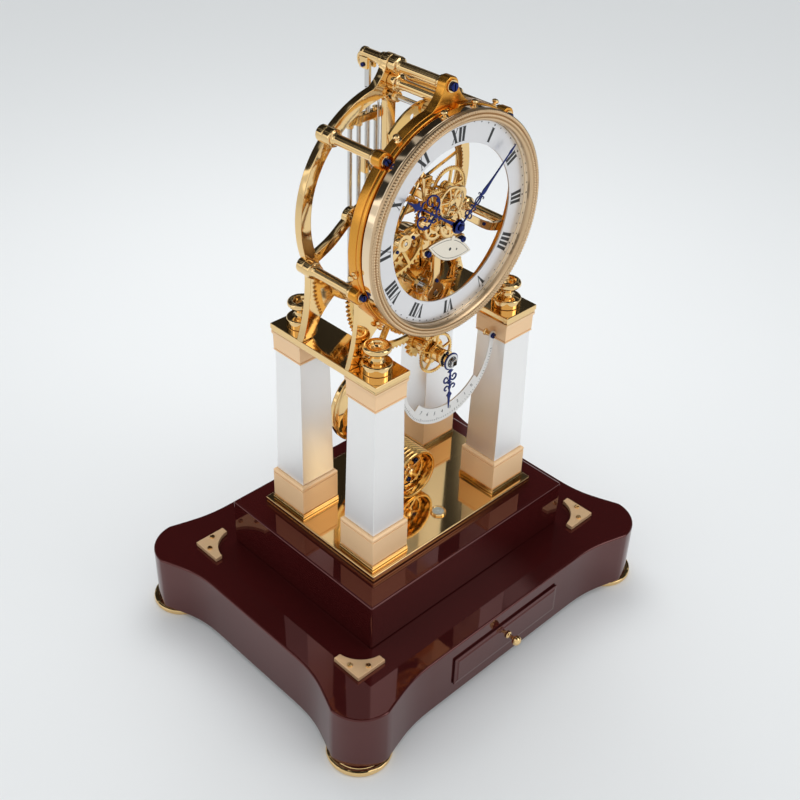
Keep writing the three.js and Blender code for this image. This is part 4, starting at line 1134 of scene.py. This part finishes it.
winding_wheel = Piece("barrel_arbor_wheel")
wheel_plate(winding_wheel, WIND_PAIR[1], -19, -16, 5, hole=2.0)
winding_wheel.done(gold_wheel, body="barrel_arbor", slot="gold_satin")
piece = Piece("barrel_arbor_steel")
arbor(piece, GREAT, ((2.9, -40, -33), (3.4, -33.1, 25), (2.9, 24.9, 34)))
piece.lathe(disc(8, -21.5, -14, 0.5), in_dial(*GREAT), 40)
piece.done(steel, body="barrel_arbor", replaces="barrel_arbor")

piece = Piece("intermediate_wheel_rim")
wheel_plate(piece, FIRST_PAIR[0], -30.4, -28.2, 5)
wheel_plate(piece, GREAT_PAIR[1], -1, 5)
piece.done(gold_wheel, body="intermediate_wheel", replaces="intermediate_arbor")
piece = Piece("intermediate_arbor_steel")
arbor(piece, INTERMEDIATE, ((1.6, -43, -35), (2.6, -35, 25), (1.6, 25, 33), (5.2, -32.4, -26.6)))
piece.done(steel, body="intermediate_wheel")

piece = Piece("center_wheel_rim")
wheel_plate(piece, SECOND_PAIR[0], -33.4, -31.2, 5)
wheel_plate(piece, FIRST_PAIR[1], -30.8, -27.8)
piece.done(gold_wheel, body="minute_hand", replaces="center_arbor")
piece = Piece("center_arbor_steel")
arbor(piece, CENTER, ((1.6, -68.4, -63.5), (2.2, -63.6, -24.6), (1.6, -24.7, -20)))
piece.done(steel, body="minute_hand")

piece = Piece("third_wheel_rim")
wheel_plate(piece, THIRD_PAIR[0], -27.2, -25, 5)
wheel_plate(piece, SECOND_PAIR[1], -33.8, -30.8)
piece.done(gold_wheel, body="third_wheel", replaces="third_arbor")
piece = Piece("third_arbor_steel")
arbor(piece, THIRD, ((1.6, -43, -35), (2.2, -35, -24.6), (1.6, -24.7, -20), (4.2, -28.6, -24.8)))
piece.done(steel, body="third_wheel")

ESCAPE_TEETH = 96
piece = Piece("escape_wheel_rim")
form = ((54.2, 0), (55.3, 0.36), (56.2, 0.52), (56.2, 0.64), (55.2, 0.7), (54.2, 0.8))
teeth = teeth_round(ESCAPE_TEETH, form, ESCAPE)
piece.plate(shape([teeth], windows(*ESCAPE, 7, 49, 5, 0.3, 1.9)), -14.4, -11.8, 0.25)
wheel_plate(piece, THIRD_PAIR[1], -28, -24.6)
piece.done(gold_wheel, body="escape_wheel", replaces="escape_arbor")
collet = Piece("escape_collet")
collet.plate([teeth_round(6, ((5.4, 0), (9.4, 0.5)), ESCAPE)], -17.6, -14.3, 0.4)
collet.lathe(disc(4.4, -19.6, -17.4, 0.5), in_dial(*ESCAPE), 32)
collet.done(gold, body="escape_wheel")
piece = Piece("escape_arbor_steel")
arbor(piece, ESCAPE, ((2.2, -29, 25), (1.6, 24.9, 33), (4.6, -12, -9)))
piece.done(steel, body="escape_wheel")

az = ANCHOR[1]
outline = (bend((-4, az + 7), (-26, az + 4), (-42, az - 14)) + [(-39.5, az - 21.5), (-34.5, az - 18.5)]
           + bend((-33.5, az - 17.4), (-20, az - 9), (0, az - 6.5)))
outline = outline + [(-x, z) for x, z in reversed(outline[:-1])]
piece = Piece("anchor_pallets")
piece.plate(shape([outline[::-1]], [circle(-14, az - 5, 3, 20), circle(14, az - 5, 3, 20)]), -14.4, -11.8,
            0.35)
piece.lathe(disc(6, -16.4, -10, 0.4), in_dial(*ANCHOR), 36)
piece.done(gold_wheel, body="anchor")
piece = Piece("anchor_arbor")
arbor(piece, ANCHOR, ((1.6, -44, -33.9), (2.6, -34, 40), (5, 39.6, 43)))
piece.plate([stroke([(0, az + 4), (0, az - 30), (0, 24), (0, 15)], 5, 4, 3, 5)], 40, 43, 0.5)
piece.lathe(disc(2, 42, 65, 0.3), in_dial(0, 20), 24)
piece.done(steel, body="anchor", replaces="anchor")
collars = Piece("anchor_collars")
for y0, y1 in ((-32.5, -28), (18, 23)):
    collars.lathe(soft([(2.7, y0), (4.6, y0), (5.2, y0 + 1), (5.2, y1 - 1), (4.6, y1), (2.7, y1)], 0.4,
                       closed=True), in_dial(*ANCHOR), 36, closed=True)
collars.done(gold, body="anchor")

# Pivot seats, as polished cups in the frames.
cups = Piece("pivot_seats")
for at, hole in ((INTERMEDIATE, 1.9), (THIRD, 1.9)):
    cups.lathe(disc(4.4, -43.4, -41.8, 0.4, hole=hole), in_dial(*at), 36, closed=True)
for at, hole in ((INTERMEDIATE, 1.9), (ESCAPE, 1.9), (GREAT, 3.2)):
    cups.lathe(disc(5.4, 34.2, 36.2, 0.5, hole=hole), in_dial(*at), 36, closed=True)
cups.done(gold)
pins = Piece("bridge_screws")
for x, z in (polar(101.5, 202), polar(101.5, -22)):
    pins.screw(facing(x, z, -46), 2.6, 2.0, 40)
for x, z in ((-56, -15), (-36, -7), (60, -25.6), (34, -8.8)):
    pins.screw(facing(x, z, -41.9), 1.7, 1.3, 15 + x)
for x, z in ((0, -66), (0, -94), (0, -128)):
    pins.screw(facing(x, z, -39.9), 1.9, 1.4, 60 + z)
for x, z in ((0, 88), (0, -16), (0, 46), (0, -52), (0, -98)):
    pins.screw(facing(x, z, 34.4, 1), 2.4, 1.8, 25 + z)
pins.done(blued)

# ---- motion work and hands ----

CANNON_PAIR = mesh_pair(CENTER, MOTION, 14, 42)
HOUR_PAIR = mesh_pair(CENTER, MOTION, 40, 10)
piece = Piece("motion_cup")
wheel_plate(piece, CANNON_PAIR[1], -51.4, -49, 5)
piece.lathe(disc(12.4, -49.2, -43.6, 0.5, hole=10.8), in_dial(*MOTION), 96, closed=True)
piece.lathe(disc(11, -45.4, -43.3, 0.3), in_dial(*MOTION), 72)
piece.lathe(disc(2.4, -55, -44, 0.4), in_dial(*MOTION), 32)
wheel_plate(piece, HOUR_PAIR[1], -54.2, -51)
piece.done(gold, body="motion_wheel", replaces="motion_wheel")
piece = Piece("cannon_pinion")
wheel_plate(piece, CANNON_PAIR[0], -51.2, -48.6, hole=2.1)
piece.lathe(disc(3.4, -48.8, -46.6, 0.4, hole=2.1), in_dial(), 32, closed=True)
piece.done(gold, body="minute_hand")

piece = Piece("idler_ring")
x, z = IDLER
piece.lathe(disc(15.6, -56.4, -54.6, 0.4, hole=13.9), in_dial(x, z), 120, closed=True)
piece.plate(shape([circle(x, z, 14.2, 72)], windows(x, z, 3.8, 13.2, 5, 0.5, 1.5)), -56, -55, 0.25)
piece.lathe(disc(3.0, -57.2, -42.6, 0.4), in_dial(x, z), 28)
arm = stroke([(0, 0), (x, z)], 8, 6)
piece.plate(shape([arm, circle(0, 0, 8.5), circle(x, z, 4.6)], [circle(0, 0, 3.2, 28)]), -43.1, -40.1, 0.5)
piece.done(gold)

MINUTE_ANGLE, HOUR_ANGLE = 48.6, 304.1


def both(outline):
    return [outline, flip(outline)[::-1]]


def minute_outlines():
    parts = [circle(0, 0, 6.2, 48), stroke([(0, 5), (0, 36)], 1.9, 1.3)]
    parts += both(stroke(curl(3.3, 13.5, 3.4, 1.1, 190, -160), 0.9, 1.1, 0.7))
    parts += both(stroke(curl(2.6, 21.3, 2.6, 0.9, 200, -120), 0.8, 1.0, 0.6))
    parts += [mirrored([(0, 9.6), (2.2, 11), (0, 12.4)]), mirrored([(0, 16), (3.6, 17.6), (0, 19.2)])]
    parts += both(stroke(arc(0, 29.4, 3.1, -90, 90, 16, 1.35), 1.1))
    parts += both(stroke(curl(3.9, 34.6, 1.9, 0.7, 210, -60), 0.7, 0.8, 0.5))
    parts += [mirrored([(0, 33), (1.0, 35), (2.4, 38.6), (2.5, 41), (1.7, 47), (1.0, 56), (0.75, 72),
                        (0.7, 80), (1.5, 83.5), (0.9, 87), (0.28, 92), (0, 92.3)])]
    return parts


def hour_outlines():
    parts = [circle(0, 0, 7, 48), stroke([(0, 6), (0, 31)], 3.4, 1.9), stroke([(0, 30), (0, 62)], 1.7, 1.3)]
    scroll = [(x, 49 + (z - 50) * 1.35) for x, z in curl(9.0, 50, 8.6, 2.8, -122, 235, 52)]
    parts += both(stroke(scroll, 1.5, 1.9, 1.3, 0.9))
    for x, z, radius, count in ((7.6, 47.6, 1.3, 16), (13.4, 43.0, 2.2, 20), (6.2, 41.6, 1.7, 16)):
        parts += both(circle(x, z, radius, count))
    parts += both(stroke(curl(4.4, 35.4, 3.4, 1.1, 205, -130), 1.0, 1.4, 0.8))
    parts += both(stroke(smooth_line([(0.6, 58.4), (4.6, 59.6), (7.4, 57.6)]), 1.4, 1.8, 0.8))
    parts += [mirrored([(0, 28), (3.0, 30), (0, 32)]), mirrored([(0, 41), (2.6, 43), (0, 45)])]
    parts += [mirrored([(0, 58), (1.6, 60), (2.2, 62.5), (5.4, 65.4), (2.6, 66.8), (2.1, 69), (1.0, 73),
                        (0.8, 76), (0.3, 80), (0, 80.2)])]
    return parts


def reserve_outlines():
    parts = [circle(0, 0, 9.4, 56), stroke([(0, 8), (0, 42)], 2.2, 1.6)]
    parts += both(stroke(curl(5.4, 19.4, 4.9, 1.6, 215, -200, 36), 1.5, 1.9, 1.0))
    parts += both(stroke(curl(4.8, 31.2, 4.0, 1.3, 160, 480), 1.3, 1.7, 0.9))
    parts += [mirrored([(0, 9), (4.2, 11.4), (0, 14)]), mirrored([(0, 23.4), (3.4, 25.4), (0, 27.4)])]
    parts += [mirrored([(0, 35), (1.4, 36.5), (3.8, 39.8), (2.1, 41.6), (1.5, 45), (0.4, 56), (0, 56.3)])]
    return parts


def hand(name, parts, angle, centre, holes, low, high, body, node):
    placed = [filled(turned(loop, angle, centre)) for loop in parts]
    piece = Piece(name).plate(shape(placed, [circle(*centre, holes, 32)]), low, high, 0.22)
    return piece.done(blued, body=body, replaces=node)


hand("minute_hand_blade", minute_outlines(), MINUTE_ANGLE, CENTER, 1.9, -65.8, -64.8, "minute_hand",
     "minute_hand")
hand("hour_hand_blade", hour_outlines(), HOUR_ANGLE, CENTER, 2.6, -63.4, -62.4, "hour_hand", "hour_hand")
hand("reserve_hand_blade", reserve_outlines(), 180, WINDING, 4.7, -65, -64, "reserve_hand", "reserve_hand")

piece = Piece("minute_hand_boss")
piece.lathe(soft([(2.0, -66.4), (4.4, -66.4), (6.0, -65.7), (6.0, -64.9), (2.0, -64.9)], 0.25, closed=True),
            in_dial(), 48, closed=True)
piece.lathe(soft([(0, 0), (2.9, 0), (3.3, 0.6), (3.3, 1.8), (2.4, 2.8), (0, 3.1)], 0.3),
            facing(0, 0, -66.3), 36)
piece.done(blued, body="minute_hand")
piece = Piece("hour_pipe")
piece.lathe(disc(3.9, -63.6, -51.8, 0.3, hole=2.6), in_dial(), 40, closed=True)
wheel_plate(piece, HOUR_PAIR[0], -54.4, -51.8, 4, hole=3.7)
piece.done(gold, body="hour_hand")

# ---- winding square and reserve indicator ----

piece = Piece("winding_tube")
profile = [(0, -63.4), (4.2, -63.4), (4.4, -58.6), (8.4, -58.4), (9, -57.9), (9, -56.6), (8.4, -56.1),
           (7.6, -55.8), (7.6, -45.8), (7.2, -45.4), (7.2, -22.4), (6.0, -21.8), (6.0, -14), (0, -14)]
piece.lathe(soft(profile, 0.3, 2), in_dial(*WINDING), 56)
piece.done(gold, body="winding_arbor", replaces="winding_arbor")
piece = Piece("winding_wheels")
wheel_plate(piece, WIND_PAIR[0], -19.6, -15, hole=5.9)
ratchet = teeth_round(48, ((21, 0), (22.2, 0.12), (22.2, 0.3), (21, 0.8)), WINDING)
piece.plate(shape([ratchet], [circle(*WINDING, 6.7, 32), *windows(*WINDING, 9.4, 19.2, 5, 0.2, 2.0)]),
            -44.6, -42.2, 0.3)
piece.done(gold_wheel, body="winding_arbor")
piece = Piece("winding_square")
square = soft(rect(-3, 3, WINDING[1] - 3, WINDING[1] + 3), 0.4, closed=True)
piece.plate([square], -70, -63, 0.5)
piece.done(steel, body="winding_arbor")
piece = Piece("reserve_hub_white")
piece.lathe(disc(8.0, -65.9, -65.0, 0.2, hole=4.8), in_dial(*WINDING), 48, closed=True)
piece.done(white_enamel, body="reserve_hand")
piece = Piece("reserve_hub_black")
piece.lathe(disc(5.9, -66.3, -65.2, 0.2, hole=4.9), in_dial(*WINDING), 48, closed=True)
piece.done(enamel, body="reserve_hand")

wz = WINDING[1]
POST_X = 63.4
outer = arc(0, wz, 66, 180, 360, 60, 71 / 66)
inner = [*arc(0, wz, 60, 360, 318, 8, 61 / 60), *arc(0, wz, 53, 318, 222, 36),
         *arc(0, wz, 60, 222, 180, 8, 61 / 60)]
crescent = shape([circle(-POST_X, wz + 2, 4.6, 28), circle(POST_X, wz + 2, 4.6, 28),
                  soft(outer + inner, 0.5, 2, closed=True)])
piece = Piece("reserve_crescent").plate(crescent, -61.6, -60, 0.25)
piece.done(scale_silver, replaces="reserve_scale")
posts = Piece("reserve_posts")
pins = Piece("reserve_post_screws")
for side in (-1, 1):
    spot = (side * POST_X, wz + 2)
    posts.lathe(soft([(0, -60.1), (2.9, -60.1), (2.6, -59.2), (2.6, -53.2), (3.6, -52.6), (3.6, -51.4),
                      (0, -51.4)], 0.3), in_dial(*spot), 32)
    pins.screw(facing(*spot, -61.5), 2.9, 2.3, 45 * side)
posts.done(gold)
pins.done(blued)


def printed(text, size):
    """Flat mesh of a short text, as points and faces."""
    data = bpy.data.curves.new("print", "FONT")
    data.body = text
    data.size = size
    data.align_x = data.align_y = "CENTER"
    data.extrude = 0.05
    data.resolution_u = 3
    helper = bpy.data.objects.new("print", data)
    mesh = bpy.data.meshes.new_from_object(helper)
    bm = bmesh.new()
    bm.from_mesh(mesh)
    bmesh.ops.remove_doubles(bm, verts=bm.verts, dist=1e-4)
    verts = [v.co.copy() for v in bm.verts]
    faces = [[v.index for v in f.verts] for f in bm.faces]
    bm.free()
    bpy.data.meshes.remove(mesh)
    bpy.data.objects.remove(helper)
    bpy.data.curves.remove(data)
    return verts, faces


TICKS, TICK_SPREAD = 57, 78      # a spread is in degrees to each side of straight down
DIGITS, DIGIT_SPREAD = 8, 38
ticks = Piece("reserve_marks")
for i in range(TICKS):
    angle = 270 - TICK_SPREAD + i * 2 * TICK_SPREAD / (TICKS - 1)
    long_one = i % 8 == 0
    a = (66.6 if abs(angle - 270) < 47 else 63.8 + 3.0 * cos(radians(angle - 270))) - (0.4 if long_one else 0)
    size = 1.5 if long_one else 0.8
    bar = [polar(a - size, angle + 0.22), polar(a - size, angle - 0.22), polar(a + size, angle - 0.2),
           polar(a + size, angle + 0.2)]
    ticks.plate([filled([(x, z + wz) for x, z in bar])], -61.72, -61.55, 0.03)
for i in range(DIGITS):
    angle = 270 - DIGIT_SPREAD + i * 2 * DIGIT_SPREAD / (DIGITS - 1)
    verts, faces = printed(str(DIGITS - 1 - i), 5.4)
    cx, cz = polar(59.2, angle)
    c, s = cos(radians(angle + 90)), sin(radians(angle + 90))
    placed = [Vector((cx + v.x * c - v.y * s, -61.65 - v.z, Z0 + wz + cz + v.x * s + v.y * c)) for v in verts]
    ticks.add(placed, faces)
ticks.done(enamel)

# ---- suspension and pendulum ----

COCK_Y = 35.3
BOB_Y = 59.0
ARM_END = BOB_Y + 7
cock = Piece("suspension_arm")
profile = above(COCK_Y, ((0, 0), (7, 0), (7, 4.6), (6, 5.6), (5.2, 6.2)))
profile += above(ARM_END, ((5.2, -5), (5.8, -4.4), (5.8, -1.4), (4.6, -0.3), (0, 0)))
cock.lathe(soft(profile, 0.5, 2), in_dial(0, EAR_Z), 56)
for side in (-1, 1):
    cock.block(tuple(sorted((side * 2.4, side * 6.2))), (BOB_Y - 5.4, BOB_Y + 5.4),
               (Z0 + 114, Z0 + EAR_Z - 1), 1.2)
cock.done(gold, replaces="suspension_cock")
hook = Piece("suspension_hook")
curve = [(0, ARM_END - 1 + 7 * sin(radians(a)), Z0 + EAR_Z - 7 + 7 * cos(radians(a)))
         for a in range(0, 250, 12)]
hook.tube(curve, 1.3)
hook.done(gold)
pins = Piece("suspension_screws")
for side in (-1, 1):
    spot = (Vector((side * 6.2, BOB_Y, Z0 + 118)), AY, AZ, AX * side)
    pins.screw(spot, 2.1, 1.6, 30 * side)
pins.done(blued)

BOB_Z, BOB_RADIUS = -259.0, 47.5
BAR_HEIGHTS, ROD_PLACES = (68, -109), (-22, -11, 11, 22)
bars = Piece("gridiron_bars")
for z in BAR_HEIGHTS:
    bars.block((-27, 27), (BOB_Y - 4, BOB_Y + 4), (Z0 + z - 4, Z0 + z + 4), 1.2)
slot_box = shape([soft(rect(-5.6, 5.6, BOB_Y - 4, BOB_Y + 4), 0.8, closed=True)],
                 [rect(-2.6, 2.6, BOB_Y - 4.8, BOB_Y + 2.6)])
bars.plate(slot_box, Z0 + 12, Z0 + 28, 0.5, at=on_floor())
for z in BAR_HEIGHTS:
    for x in ROD_PLACES:
        collar = above(Z0 + z, ((0, -6.6), (3.6, -6.6), (3.6, 6.6), (0, 6.6)))
        bars.lathe(soft(collar, 0.6), on_floor(x, BOB_Y), 28)
bars.done(gold, body="pendulum")
rods = Piece("gridiron_rods")
for x in ROD_PLACES:
    rods.lathe(above(Z0, ((0, -108), (2.3, -108), (2.3, 67), (0, 67))), on_floor(x, BOB_Y), 28)
rods.done(steel, body="pendulum", replaces="pendulum_rods")
rod = Piece("center_rod")
profile = above(Z0 + BOB_Z, ((0, -66), (2.0, -66), (2.6, -65))) + above(Z0, ((2.6, 96), (0, 96.6)))
rod.lathe(soft(profile, 0.3), on_floor(0, BOB_Y), 28)
rod.block((-1.6, 1.6), (BOB_Y - 3, BOB_Y + 3), (Z0 + 95, Z0 + 119.5), 0.4)
rod.done(steel, body="pendulum")

bob = Piece("bob_lens")
arc_front = [(BOB_RADIUS * sin(t), BOB_Y - 1.6 - 10.6 * cos(t)) for t in (i * pi / 2 / 22 for i in range(21))]
profile = [(0, BOB_Y - 12.2), *arc_front[1:], (BOB_RADIUS - 0.9, BOB_Y - 2.4), (BOB_RADIUS, BOB_Y - 1.9),
           (BOB_RADIUS, BOB_Y + 1.9), (BOB_RADIUS - 0.9, BOB_Y + 2.4)]
profile += [(r, 2 * BOB_Y - h) for r, h in reversed(arc_front[1:])] + [(0, BOB_Y + 12.2)]
bob.lathe(profile, in_dial(0, BOB_Z), 128)
bob.done(gold, body="pendulum", replaces="pendulum_bob")

NUT_Z = Z0 + BOB_Z - BOB_RADIUS - 9
profile = above(NUT_Z, ((3.1, 0), (8.2, 0), (9, 0.9), (9, 5.1), (8.2, 6), (3.1, 6)))
nut_profile = soft(profile, 0.3, 2, closed=True)


def knurl(a, k, radius, height):
    """Fine ridges on the edge of the rating nut."""
    return radius + (0.3 * cos(48 * a) if radius > 8.6 else 0), height


rating = Piece("rating_disc").lathe(nut_profile, on_floor(0, BOB_Y), 288, closed=True, ripple=knurl)
rating.done(gold, body="rating_nut", replaces="rating_nut")
